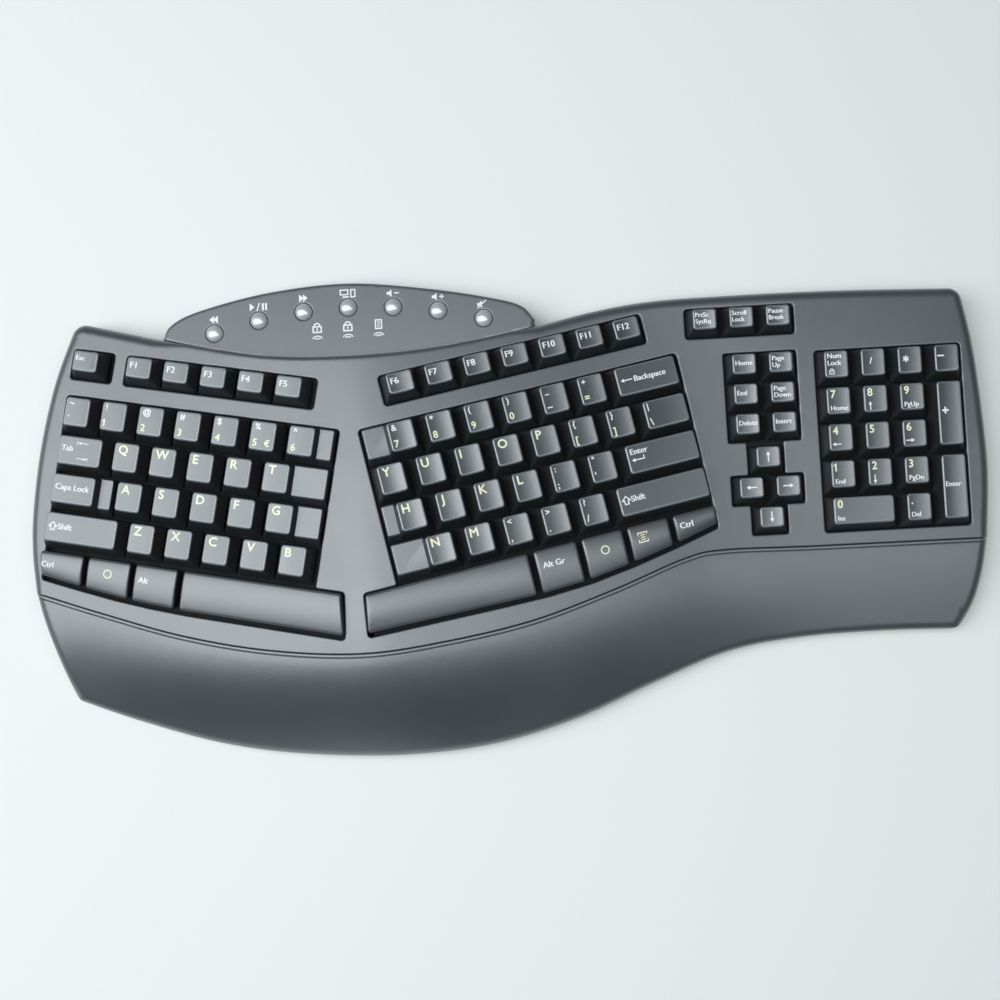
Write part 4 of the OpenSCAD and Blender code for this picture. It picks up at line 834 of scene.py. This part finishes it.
class Keys:
    """The keys of one node: their caps, stems and legends, in one piece."""

    def __init__(self, place):
        self.shape, self.place = Shape(), place

    def put(self, spots, wear=0.0, x=0.0, y=0.0):
        """Points round a spot in the plane of the key tops, turned into the case's frame."""
        return self.shape.add((spots + (x, y, 0)) @ self.place[:3, :3].T + self.place[:3, 3], wear)

    def top_fill(self, spots, ring, height, spacing, x=0.0, y=0.0):
        """Closes a cap's top inside a ring; the fill is worked out in the key's own plane."""
        loose = even_spots(spots[:, :2], [], spacing, spacing / 2)
        plan = Shape()
        plan.fill(plan.add(level(spots[:, :2], 0)), [], plan.add(level(loose, 0)))
        numbers = ring + self.put(raised(loose, height), 0.0, x, y)
        for f in plan.faces:
            self.shape.face([numbers[n] for n in f], TOP)

    def body(self, sides, tops):
        """The skin of a cap: from its closed lowest or inner ring up its sides to the rim of its top."""
        self.shape.face(sides[0][::-1], SHADE_SIDE)
        self.shape.sleeve(sides, SHADE_SIDE)
        self.shape.sleeve(sides[-1:] + tops, TOP)

    def rod(self, x, y, top):
        """A stem, from under the roof down to its end in the guide."""
        radius, ease = STEM_D / 2, STEM_CHAMFER
        rings = ((radius, top), (radius, STEM_BOTTOM + ease), (radius - ease, STEM_BOTTOM))
        self.shape.stack([self.put(level(circle(x, y, r, 20), z)) for r, z in rings], SHADE_SIDE)

    def cap(self, x, y, w, d, ledge):
        """A tapered cap with a dished top for a cell of w by d, and a low ledge at one side."""
        top_w, top_d = w - KEY_GAP - 2 * SIDE_TAPER, top_depth(d)
        reach = top_w / 2 - TOP_EDGE

        def dish(px, py):
            return -DISH_DEPTH * np.clip(1 - (px / reach) ** 2, 0, 1)

        def top(px, py):
            return dish(px - x, py - y)

        def ring(z, inset, radius, dished=True):
            share = -z / KEY_HEIGHT
            half = top_w / 2 + SIDE_TAPER * share - inset
            front = top_d / 2 + FRONT_TAPER * share - inset
            rear = top_d / 2 + REAR_TAPER * share - inset
            loop = rectangle(-half, -front, half, rear, max(radius - inset, LEAST_CORNER))
            return raised(loop, dish, z) if dished else level(loop, z)

        sides = [self.put(spots, 0.0, x, y) for spots in (
            ring(-CAP_WALL - ROOF_EXTRA, CAP_WALL, INNER_CORNER, False),
            ring(-KEY_HEIGHT, CAP_WALL, INNER_CORNER, False),
            ring(-KEY_HEIGHT, SKIRT_EASE, SKIRT_CORNER, False),
            ring(-KEY_HEIGHT + SKIRT_EASE, 0, SKIRT_CORNER, False),
            ring(-KEY_HEIGHT / 2, 0, (SKIRT_CORNER + TOP_CORNER) / 2, False),
            ring(-TOP_EDGE - TOP_BAND, 0, TOP_CORNER, False),
            ring(-TOP_EDGE, 0, TOP_CORNER),
        )]
        edges = [ring(-drop, inset, TOP_CORNER) for drop, inset in edge_steps(TOP_EDGE)]
        rim = ring(0, TOP_EDGE + TOP_RIM, TOP_CORNER)
        # The rounded edge of each top takes the lighter edge colour: a painted highlight round the top
        tops = [self.put(spots, KEY_EDGE_HIGHLIGHT, x, y) for spots in edges] + [self.put(rim, 0.0, x, y)]
        self.body(sides, tops)
        self.top_fill(rim, tops[-1], dish, TOP_STEP, x, y)
        if ledge:
            self.ledge(x, y, w, top_d, ledge)
        for post in posts(w):
            self.rod(x + post, y, STEM_TOP)
        return (x - top_w / 2, y + top_d / 2, top_w, top_d), top

    def ledge(self, x, y, w, top_d, ledge):
        """The low step that runs on past the cell."""
        inner = w / 2 - KEY_GAP / 2 - SIDE_TAPER
        outer = w / 2 - KEY_GAP / 2 + abs(ledge)

        def ring(z, inset, radius=1.0):
            share = (-LEDGE_DROP - z) / (KEY_HEIGHT - LEDGE_DROP)
            end = outer - LEDGE_EASE * (1 - share) - inset
            x0, x1 = (inner, end) if ledge > 0 else (-end, -inner)
            front = top_d / 2 + LEDGE_EASE + (FRONT_TAPER - LEDGE_EASE) * share - inset
            rear = top_d / 2 + LEDGE_EASE + (REAR_TAPER - LEDGE_EASE) * share - inset
            loop = rectangle(x0, -front, x1, rear, max(radius - inset, LEAST_CORNER))
            # Inset rings take a little of the lighter edge colour: a painted highlight along the ledge's edge
            return self.put(level(loop, z), LEDGE_EDGE_HIGHLIGHT if inset else 0.0, x, y)

        sides = [ring(-KEY_HEIGHT, 0, 0.8), ring(-LEDGE_DROP - LEDGE_ROLL, 0)]
        tops = [ring(-LEDGE_DROP - drop, inset) for drop, inset in edge_steps(LEDGE_ROLL)]
        tops.append(ring(-LEDGE_DROP, LEDGE_RIM))
        self.body(sides, tops)
        self.shape.face(tops[-1], TOP)

    def slab(self, first, last, first_front, last_front, edge):
        """A low slab of the bottom row, crowned from rear to front."""
        columns = np.linspace(first_front, last_front, 7)
        rows = np.interp(columns, edge[:, 0], edge[:, 1]) - SLAB_BACK / KEY_PITCH
        front = np.array([at(c, r) for c, r in zip(columns, rows)])
        (left, rear), (right, _) = at(first, BOTTOM_ROW), at(last, BOTTOM_ROW)
        radii = [SLAB_CORNER, *[SLAB_BEND] * 5, *[SLAB_CORNER] * 3]
        outline = rounded_polygon([*front, (right, rear), (left, rear)], radii)

        def top(px, py):
            v = np.clip((rear - py) / (rear - np.interp(px, *front.T)), 0, 1)
            behind = SLAB_REAR_DROP * np.clip((SLAB_RIDGE - v) / SLAB_RIDGE, 0, 1) ** 2
            ahead = SLAB_FRONT_DROP * np.clip((v - SLAB_RIDGE) / (1 - SLAB_RIDGE), 0, 1) ** 2
            edge_drop = rolled(distance(np.column_stack([px, py]), closed(outline)), SLAB_EDGE)
            return -SLAB_DROP - behind - ahead - edge_drop

        within = grown(outline, -CAP_WALL)
        sides = [self.put(spots) for spots in (
            level(within, -SLAB_DROP - SLAB_FRONT_DROP - SLAB_ROOF), level(within, -KEY_HEIGHT),
            level(outline, -KEY_HEIGHT),
        )]
        rings = [raised(grown(outline, -inset), top) for inset in SLAB_STEPS]
        # The outer edge rings carry a painted highlight onto the top paint beside them, and the outer three
        # take the dark side paint: painted shade along the slab's edge
        edges = [self.put(ring, SLAB_EDGE_HIGHLIGHT) for ring in rings[:4]] + [self.put(ring) for ring in rings[4:]]
        self.body(sides + edges[:3], edges[3:])
        self.top_fill(rings[-1], edges[-1], top, SLAB_STEP)
        middle = np.mean([(left, rear), (right, rear), front[0], front[-1]], axis=0)
        for post in posts(right - left):
            self.rod(middle[0] + post, middle[1], -SLAB_DROP - SLAB_STEM)
        return (left, rear, right - left, rear - front[:, 1].mean()), top

    def prism(self, loop, top, paint, lift=PRINT_LIFT, sink=PRINT_SINK):
        """A flat mark on a key's top, let a little into it."""
        self.shape.stack([self.put(raised(loop, top, by)) for by in (lift, -sink)], paint)

    def ribbon(self, path, width, top, paint, joined=False):
        """A line of even width on a key's top."""
        steps = unit(np.diff(closed(path) if joined else path, axis=0))
        a = np.roll(steps, 1, axis=0) if joined else np.vstack([steps[:1], steps])
        b = steps if joined else np.vstack([steps, steps[-1:]])
        out = unit(np.stack([-(a + b)[:, 1], (a + b)[:, 0]], axis=1))
        slant = np.clip(out[:, 1] * b[:, 0] - out[:, 0] * b[:, 1], LEAST_LINE_MITRE, 1)
        half = out * (width / 2 / slant)[:, None]
        over, under, far_over, far_under = [
            self.put(raised(side, top, by))
            for side in (path + half, path - half) for by in (PRINT_LIFT, -PRINT_SINK)
        ]
        for below, above in ((far_over, over), (under, far_under), (over, under), (far_under, far_over)):
            self.shape.skin(below, above, paint, joined)
        for end in () if joined else (0, -1):
            self.shape.face((over[end], under[end], far_under[end], far_over[end]), paint)

    def text(self, words, x, y, cap, top, paint):
        """Words whose capitals are cap high, from their upper left corner, in shifted copies for weight."""
        spots, faces = lettering(words)
        bold = BOLD * cap
        shifts = [(-bold, 0), (bold, 0)] + ([(0, -bold), (0, bold)] if len(words) == 1 else [])
        for k, shift in enumerate(shifts):
            flat = spots[:, :2] * cap / CAPITAL + (x, y - cap) + shift
            depth = np.where(spots[:, 2] > 0, PRINT_LIFT + COPY_LIFT * k, -PRINT_SINK)
            numbers = self.put(raised(flat, top, depth))
            for f in faces:
                self.shape.face([numbers[n] for n in f], paint)
        if words == "1":
            flag = points((-0.22, -0.3), (0.06, -0.06)) * cap + (x, y)
            self.ribbon(flag, 0.17 * cap, top, paint)


# Marks: each draws on the face of a key, given as the left and rear edge, width and depth of its top

ARROW_TURNS = {"right": 0, "up": 90, "left": 180, "down": 270}


def arrow(keys, x, y, length, head, line, way, top):
    """An arrow centred on a spot."""
    turn = math.radians(ARROW_TURNS[way])
    spin = np.array([[math.cos(turn), math.sin(turn)], [-math.sin(turn), math.cos(turn)]])
    tip, neck, thick, wide = length / 2, length / 2 - head, line / 2, head * 0.55
    shape = points(
        (-tip, -thick), (neck, -thick), (neck, -wide), (tip, 0), (neck, wide), (neck, thick), (-tip, thick),
    )
    keys.prism(shape @ spin + (x, y), top, WHITE)


def padlock(keys, x, y, size, top):
    body = points((-0.36, 0), (0.36, 0), (0.36, 0.5), (-0.36, 0.5)) * size + (x, y)
    keys.ribbon(body, size * 0.12, top, WHITE, True)
    keys.ribbon(arc((0, 0.55), 0, math.pi, 0.25, 9) * size + (x, y), size * 0.12, top, WHITE)
    keyhole = points((-0.06, 0.14), (0.06, 0.14), (0.06, 0.36), (-0.06, 0.36)) * size + (x, y)
    keys.prism(keyhole, top, WHITE)


def together(*marks):
    def draw(*key):
        for mark in marks:
            mark(*key)
    return draw


def legend(words, inset, down, cap, paint=WHITE, gap=0.0):
    """Lines of words, a gap apart, at an inset from the left and down from the rear."""
    def draw(keys, face, top):
        for k, line in enumerate(words.split("\n")):
            keys.text(line, face[0] + inset, face[1] - down - k * gap, cap, top, paint)
    return draw


def low_legend(words, inset, up, cap, paint=WHITE):
    """Words at an inset from the left and up from the front."""
    return lambda keys, face, top: keys.text(words, face[0] + inset, face[1] - face[3] + up, cap, top, paint)


def arrow_legend(way, inset, down, length, head=1.8, line=0.55):
    return lambda keys, face, top: arrow(keys, face[0] + inset, face[1] - down, length, head, line, way, top)


def stroke(inset, down, height, width):
    """An upright line whose lower end is at an inset from the left and down from the rear."""
    def draw(keys, face, top):
        keys.ribbon(points((0, 0), (0, height)) + (face[0] + inset, face[1] - down), width, top, WHITE)
    return draw


def home_bar(keys, face, top):
    x, y, w, d = face
    keys.prism(box_loop(-2, -0.3, 2, 0.3, 0.28, 1.0) + (x + w / 2, y - d + 2.2), top, TOP, 0.28, 0.2)


def lettered(sign, bar=False):
    mark = legend(sign, 2.2, 1.3, 4.1, YELLOW)
    return together(mark, home_bar) if bar else mark


def paired(upper, lower):
    return together(legend(upper, 1.9, 1.2, 2.8), low_legend(lower, 1.7, 5.1, 3.3, YELLOW))


def digit(sign, below=None, way=None, bar=False):
    """A number pad key: a digit, and a word or an arrow below it."""
    def low_arrow(keys, face, top):
        inset = 3.4 if way in ("left", "right") else 3.0
        arrow(keys, face[0] + inset, face[1] - face[3] + 3.0, 4.4, 1.7, 0.55, way, top)

    marks = [legend(sign, 1.9, 1.3, 3.7, YELLOW)]
    marks += [low_legend(below, 1.7, 3.9, 2.3)] if below else []
    marks += [low_arrow] if way else []
    marks += [home_bar] if bar else []
    return together(*marks)


def centred_arrow(way):
    def draw(keys, face, top):
        x, y, w, d = face
        arrow(keys, x + w / 2, y - d / 2, 5.2, 1.9, 0.6, way, top)
    return draw


def shift_arrow(keys, face, top):
    outline = points(
        (0.5, 0.45), (0.24, 0.45), (0.24, 0), (-0.24, 0), (-0.24, 0.45), (-0.5, 0.45), (0, 0.95),
    )
    keys.ribbon(outline * 4.0 + (face[0] + 3.6, face[1] - 8.4), 0.56, top, WHITE, True)


def system_ring(keys, face, top):
    x, y, w, d = face
    keys.ribbon(circle(x + w * 0.5, y - d * 0.42, 1.9, 28), 0.55, top, YELLOW, True)


def menu_list(keys, face, top):
    corner, size = (face[0] + 4.5, face[1] - 8.8), 4.6
    keys.ribbon(points((0, 0), (1, 0), (1, 1), (0, 1)) * size + corner, 0.5, top, YELLOW, True)
    for high in (0.25, 0.5, 0.75):
        keys.ribbon(points((0.26, high), (0.74, high)) * size + corner, 0.45, top, YELLOW)


def lock_sign(keys, face, top):
    padlock(keys, face[0] + 3.2, face[1] - face[3] + 1.5, 3.2, top)


# Keys of the two halves

def finish_keys(keys, node):
    settle(keys.shape.made(node + "_caps", key_paints), node, "key_plastic", node)


def key_group(place, node, cells):
    """Keys of one node, each with its middle, width, depth, ledge and mark."""
    keys = Keys(place)
    for (x, y), w, d, ledge, mark in cells:
        mark(keys, *keys.cap(x, y, w, d, ledge))
    finish_keys(keys, node)


def half_key(column, row, mark, width=1, ledge=0):
    """A key of a half, in key widths."""
    depth = FUNCTION_DEPTH if row == FUNCTION_ROW else KEY_PITCH
    return at(column, row), width * KEY_PITCH, depth, ledge * KEY_PITCH, mark


def wide_key(first, last, row, mark, ledge=0):
    return half_key((first + last) / 2, row, mark, last - first, ledge)


def function_keys(first_column, first, count):
    return [
        half_key(first_column + i, FUNCTION_ROW, legend(f"F{first + i}", 1.7, 2.3, 3.0)) for i in range(count)
    ]


def key_row(column, row, marks, ledge_at=None, ledge_to=0.0):
    """Single keys from a column on; one of them has a ledge that reaches to another column."""
    keys = []
    for i, mark in enumerate(marks):
        edge = column + i + math.copysign(0.5, ledge_to - column - i)
        keys.append(half_key(column + i, row, mark, ledge=ledge_to - edge if i == ledge_at else 0))
    return keys


euro_five = together(paired("%", "5"), low_legend("€", 7.4, 5.0, 3.0, YELLOW))
left_numbers = [paired(*pair) for pair in ("~`", "!1", "@2", "#3", "$4")] + [euro_five, paired("^", "6")]
right_numbers = [paired(*pair) for pair in ("&7", "*8", "(9", ")0", "_–", "+=")]
right_upper = [lettered(m) for m in "YUIOP"] + [paired(*pair) for pair in ("{[", "}]")]
right_home = [lettered(m, m == "J") for m in "HJKL"] + [paired(*pair) for pair in (":;", "\"'")]
right_lower = [lettered(m) for m in "NM"] + [paired(*pair) for pair in ("<,", ">.", "?/")]
tab_marks = together(
    legend("Tab", 1.6, 4.6, 2.6),
    arrow_legend("left", 12.2, 3.0, 5.2, 1.3, 0.35), stroke(9.2, 3.9, 1.8, 0.35),
    arrow_legend("right", 12.2, 10.6, 5.2, 1.3, 0.35), stroke(15.2, 11.5, 1.8, 0.35),
)
shift_marks = together(shift_arrow, legend("Shift", 6.2, 5.0, 2.8))
backspace_marks = together(arrow_legend("left", 4.8, 6.6, 6.0), legend("Backspace", 8.8, 5.3, 2.7))
enter_marks = together(
    legend("Enter", 2.0, 2.0, 2.8), arrow_legend("left", 5.0, 7.6, 6.4), stroke(8.2, 7.85, 1.95, 0.5),
)

LEFT_KEYS = {
    "escape_key": [half_key(0, FUNCTION_ROW, legend("Esc", 1.3, 2.3, 2.3))],
    "left_function_keys": function_keys(LEFT_FUNCTION, 1, 5),
    "left_number_keys": key_row(0, 0, left_numbers, 6, LEFT_LEDGE),
    "tab_key": [wide_key(HOME_EDGE, 1, 1, tab_marks)],
    "left_upper_keys": key_row(1.5, 1, [lettered(m) for m in "QWERT"], 4, LEFT_LEDGE),
    "caps_lock_key": [
        wide_key(HOME_EDGE, CAPS_EDGE - CAPS_LEDGE, 2, legend("Caps Lock", 1.6, 4.6, 2.8), CAPS_LEDGE),
    ],
    "left_home_keys": key_row(1.75, 2, [lettered(m, m == "F") for m in "ASDFG"], 4, LEFT_LEDGE),
    "left_shift_key": [wide_key(HOME_EDGE, 1.75, 3, shift_marks)],
    "left_lower_keys": key_row(2.25, 3, [lettered(m) for m in "ZXCVB"]),
}
RIGHT_KEYS = {
    "right_function_keys": function_keys(RIGHT_FUNCTION, 6, 7),
    "right_number_keys": key_row(7, 0, right_numbers, 0, RIGHT_LEDGE),
    "backspace_key": [wide_key(12.5, OUTER_EDGE, 0, backspace_marks)],
    "right_upper_keys": key_row(6.5, 1, right_upper) + [wide_key(13, OUTER_EDGE, 1, paired("|", "\\"))],
    "right_home_keys": key_row(6.75, 2, right_home, 0, RIGHT_LEDGE),
    "enter_key": [wide_key(12.25, OUTER_EDGE, 2, enter_marks)],
    "right_lower_keys": key_row(7.25, 3, right_lower, 0, RIGHT_LEDGE),
    "right_shift_key": [wide_key(11.75, OUTER_EDGE, 3, shift_marks)],
}
for place, groups in ((LEFT, LEFT_KEYS), (RIGHT, RIGHT_KEYS)):
    for node, cells in groups.items():
        key_group(place, node, cells)

# Slabs: first and last column at the rear, then at the front
LEFT_SLABS = {
    "left_control_key": ((-0.46, 0.76, -0.34, 0.76), legend("Ctrl", 2.2, 5.0, 2.7)),
    "left_system_key": ((0.88, 2.04, 0.88, 2.04), system_ring),
    "left_alt_key": ((2.16, 3.3, 2.16, 3.3), legend("Alt", 2.6, 6.0, 2.8)),
    "left_space_bar": ((3.44, 7.56, 3.44, 7.78), together()),
}
RIGHT_SLABS = {
    "right_space_bar": ((5.14, 9.34, 4.98, 9.34), together()),
    "right_alt_key": ((9.48, 10.62, 9.48, 10.62), legend("Alt Gr", 3.2, 6.4, 2.8)),
    "right_system_key": ((10.75, 11.84, 10.75, 11.84), system_ring),
    "menu_key": ((11.97, 13.07, 11.97, 13.07), menu_list),
    "right_control_key": ((13.2, 14.37, 13.2, 14.33), legend("Ctrl", 2.6, 4.4, 2.9)),
}
for place, edge, slabs in ((LEFT, left_front_edge, LEFT_SLABS), (RIGHT, right_front_edge, RIGHT_SLABS)):
    for node, (columns, mark) in slabs.items():
        keys = Keys(place)
        mark(keys, *keys.slab(*columns, edge))
        finish_keys(keys, node)


# Editing keys, arrows and number pad

def pad_key(column, y, mark, depth=PAD_PITCH, width=1):
    """A key right of the halves: its column and width are in pad pitches."""
    return (column * PAD_PITCH, y), width * PAD_PITCH, depth, 0, mark


def short_key(column, y, mark):
    return pad_key(column, y, mark, SHORT_PITCH)


def editing_legend(words):
    return legend(words, 1.4, 1.7 if "\n" in words else 3.2, 2.3, gap=3.3)


PRINT_WORDS = ["PrtSc\nSysRq", "Scroll\nLock", "Pause\nBreak"]
EDITING_WORDS = ["Home", "Page\nUp", "End", "Page\nDown", "Delete", "Insert"]
ARROW_SPOTS = {
    "up": (-3.5, ARROW_Y[0]), "left": (-4, ARROW_Y[1]), "right": (-3, ARROW_Y[1]), "down": (-3.5, ARROW_Y[2]),
}
lock_marks = together(legend("Num\nLock", 1.4, 1.1, 2.4, gap=3.5), lock_sign)
# Single keys of the number pad: rows from the rear, with the marks of their columns
PAD_MARKS = [
    {
        0: lock_marks, 1: legend("/", 4.0, 4.2, 3.0), 2: legend("*", 2.4, 4.6, 4.6),
        3: legend("–", 1.2, 2.6, 4.2),
    },
    {0: digit("7", "Home"), 1: digit("8", way="up"), 2: digit("9", "PgUp")},
    {0: digit("4", way="left"), 1: digit("5", bar=True), 2: digit("6", way="right")},
    {0: digit("1", "End"), 1: digit("2", way="down"), 2: digit("3", "PgDn")},
    {2: digit(".", "Del")},
]
PAD_KEYS = {
    "print_keys": [
        short_key(-5 + k, PRINT_Y, legend(words, 1.1, 1.5, 2.2, gap=3.2))
        for k, words in enumerate(PRINT_WORDS)
    ],
    "editing_keys": [
        short_key(-4 + k % 2, EDITING_Y[k // 2], editing_legend(words))
        for k, words in enumerate(EDITING_WORDS)
    ],
    **{f"{way}_arrow_key": [short_key(*spot, centred_arrow(way))] for way, spot in ARROW_SPOTS.items()},
    "number_pad_keys": [
        pad_key(column - 1.5, (2 - row) * PAD_PITCH, mark)
        for row, marks in enumerate(PAD_MARKS) for column, mark in marks.items()
    ],
    "pad_plus_key": [pad_key(1.5, PAD_PITCH / 2, legend("+", 1.8, 12.0, 4.4), 2 * PAD_PITCH)],
    "pad_enter_key": [pad_key(1.5, -1.5 * PAD_PITCH, legend("Enter", 1.2, 13.0, 2.4), 2 * PAD_PITCH)],
    "pad_zero_key": [pad_key(-1, -2 * PAD_PITCH, digit("0", "Ins"), width=2)],
}
for node, cells in PAD_KEYS.items():
    key_group(PAD, node, cells)


# Media buttons

BUTTONS = [
    "previous_button", "play_button", "next_button", "media_button", "volume_down_button", "volume_up_button",
    "mute_button",
]
CAP_R = (BUTTON_D ** 2 / 4 + BUTTON_RISE ** 2) / (2 * BUTTON_RISE)


def button(x, y, count=40):
    """A dome with a skirt, and a post down to its switch."""
    base, edge = panel_z(x, y), BUTTON_D / 2
    rim = math.asin(edge / CAP_R) - 0.06
    turns = np.linspace(0, rim, 9)[1:]
    dome = [(CAP_R * math.sin(a), BUTTON_RISE - CAP_R + CAP_R * math.cos(a)) for a in turns]
    low = dome[-1][1]
    profile = dome + [
        (edge - 0.08, low - 0.12), (edge, low - 0.35),
        (edge, -BUTTON_SKIRT + 0.3), (edge - 0.3, -BUTTON_SKIRT),
        (BUTTON_POST_R, -BUTTON_SKIRT), (BUTTON_POST_R, BUTTON_FOOT_Z - base),
    ]
    shape = Shape()
    rings = [shape.add(level(circle(x, y, radius, count), base + z)) for radius, z in profile]
    shape.sleeve(rings)
    for ring, z in ((rings[0], base + BUTTON_RISE), (rings[-1], BUTTON_FOOT_Z)):
        tip = shape.add([(x, y, z)])[0]
        for k in range(count):
            shape.face((ring[k], ring[(k + 1) % count], tip))
    return shape


for node, spot in zip(BUTTONS, button_spots):
    settle(button(*spot).made(node + "_dome", [silver_paint]), node, "button_plastic", node)


# Icons behind the buttons and the lenses, and a painted reflection on each lens

ICON_BACK, ICON_SIZE = 7.0, 3.9
icons = Keys(FLAT)
icon_spots = np.array(button_spots) + (0, ICON_BACK)


def triangles(x, y, side, count):
    for k in range(count):
        tip = 0.5 * k - 0.25 * (count - 1) + 0.35
        loop = points((tip, 0), (tip - 0.6, 0.5), (tip - 0.6, -0.5)) * (side * ICON_SIZE, ICON_SIZE)
        icons.prism(loop + (x, y), panel_z, WHITE)


def bar(origin, x0, y0, x1, y1, width):
    icons.ribbon(points((x0, y0), (x1, y1)) + origin, width, panel_z, WHITE)


def frame_mark(origin, x0, y0, x1, y1, width):
    icons.ribbon(points((x0, y0), (x1, y0), (x1, y1), (x0, y1)) + origin, width, panel_z, WHITE, True)


def speaker(x, y):
    cone = points((-0.5, -0.18), (-0.2, -0.18), (0.12, -0.5), (0.12, 0.5), (-0.2, 0.18), (-0.5, 0.18))
    icons.prism(cone * ICON_SIZE + (x - 1.0, y), panel_z, WHITE)


previous, play, following, media, quieter, louder, mute = icon_spots
triangles(*previous, -1, 2)
triangles(*(play - (3.4, 0)), 1, 1)
bar(play, -0.8, -2.0, 0.5, 2.0, 0.55)
for across in (2.2, 3.8):
    bar(play, across, -1.8, across, 1.8, 0.95)
triangles(*following, 1, 2)
frame_mark(media, -3.7, -0.5, 0.1, 1.9, 0.6)
bar(media, -2.6, -1.7, 0.5, -1.7, 0.7)
frame_mark(media, 1.6, -1.7, 3.6, 1.9, 0.6)
for spot in (quieter, louder, mute):
    speaker(*spot)
for spot in (quieter, louder):
    bar(spot, 0.8, 0, 3.2, 0, 0.6)
bar(louder, 2.0, -1.2, 2.0, 1.2, 0.6)
bar(mute, -2.9, -1.9, 1.6, 2.1, 0.55)
for x in LENS_X[:2]:
    padlock(icons, x, LENS_Y + 3.2, 5.6, panel_z)
scroll = (LENS_X[2], LENS_Y)
frame_mark(scroll, -1.5, 3.4, 1.5, 7.8, 0.6)
for high in (4.5, 5.6, 6.7):
    bar(scroll, -0.75, high, 0.75, high, 0.45)
# White arcs over the lenses, in legend white: painted reflections on the lens domes
for x in LENS_X:
    lens_reflection = arc((0, 0), math.radians(-10), math.radians(200), 1, 15) * (2.3, 1.25)
    icons.ribbon(lens_reflection + (x, LENS_Y), 0.5, panel_z, WHITE)
prints_and_lens_reflections = icons.shape.made("media_panel_icons_and_lens_reflections", key_paints)
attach(prints_and_lens_reflections, "case")

LENS_RINGS = ((0.18, 0.0), (0.06, 0.08), (0.0, 0.2), (0.0, 2.8))
lenses = Shape()
for x in LENS_X:
    outline = lens_loop(x, 0, 0.5, 0.6)
    rings = [raised(grown(outline, -inset), panel_z, -down) for inset, down in LENS_RINGS]
    lenses.stack([lenses.add(ring) for ring in rings])
settle(lenses.made("indicator_lens_bars", [lens_paint]), "case", "lens_plastic", "indicator_lenses")


# Finish of the pieces that keep their CAD shape

NODE_PAINTS = {
    "bottom_case": under_paint, "left_folding_foot": under_paint, "right_folding_foot": under_paint,
    "key_frames": frame_shade_paint, "dome_sheets": dome_paint, "membranes": foil_paint, "backplates": steel_paint,
    "controller_board": board_paint, "media_board": board_paint, "case_screws": screw_paint,
    "rubber_feet": rubber_paint,
}
for node, finish in NODE_PAINTS.items():
    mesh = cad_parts[node].data
    mesh.materials.clear()
    mesh.materials.append(finish)


# Camera, light and floor

CAMERA_AT = (-0.5, -35.1, 658.2)
CAMERA_RIGHT = (0.9984, -0.0562, -0.0103)
CAMERA_UP = (0.0568, 0.9965, 0.0621)
FOCAL_PX, IMAGE_PX, SENSOR = 1300.0, 1000.0, 36.0
TINT = (0.91, 0.97, 1.0)
FLOOR_REACH = 3000.0


def add_camera():
    data = bpy.data.cameras.new("camera")
    data.sensor_width = SENSOR
    data.lens = SENSOR * FOCAL_PX / IMAGE_PX
    data.clip_start, data.clip_end = 0.01, 50
    right = Vector(CAMERA_RIGHT).normalized()
    up = Vector(CAMERA_UP)
    up = (up - right * up.dot(right)).normalized()
    turn = Matrix((right, up, right.cross(up))).transposed().to_4x4()
    camera = bpy.data.objects.new("camera", data)
    camera.matrix_world = Matrix.Translation(Vector(CAMERA_AT) * MM) @ turn
    bpy.context.scene.collection.objects.link(camera)
    bpy.context.scene.camera = camera


def softbox(name, place, size, power):
    """A lamp at a place in metres, aimed at the middle of the keyboard."""
    data = bpy.data.lights.new(name, "AREA")
    data.shape = "RECTANGLE"
    data.size, data.size_y = size
    data.energy = power
    data.color = TINT
    lamp = bpy.data.objects.new(name, data)
    lamp.location = place
    lamp.rotation_mode = "QUATERNION"
    lamp.rotation_quaternion = (-Vector(place)).to_track_quat("-Z", "Y")
    bpy.context.scene.collection.objects.link(lamp)


def add_floor():
    shape = Shape()
    corners = points((-1, -1), (1, -1), (1, 1), (-1, 1)) * FLOOR_REACH
    shape.face(shape.add(level(corners, 0)))
    pale = paint("floor_pale", "e2e1df", "e8e7e5", 0.7, drift=3.0, grain=400.0, bump=0.02)
    floor = shape.made("floor", [pale])


add_camera()
add_floor()
softbox("key_light", (-0.95, 0.02, 1.5), (1.2, 2.1), 34.5)
softbox("right_light", (0.48, -0.18, 1.5), (0.4, 0.8), 3.8)
softbox("middle_light", (-0.1, 0.02, 1.5), (0.7, 0.36), 3.6)
world = bpy.data.worlds.new("studio")
world.use_nodes = True
background = world.node_tree.nodes["Background"]
background.inputs["Color"].default_value = (0.9, 0.95, 1.0, 1)
background.inputs["Strength"].default_value = 0.105
bpy.context.scene.world = world
bpy.context.scene.view_settings.view_transform = "Standard"
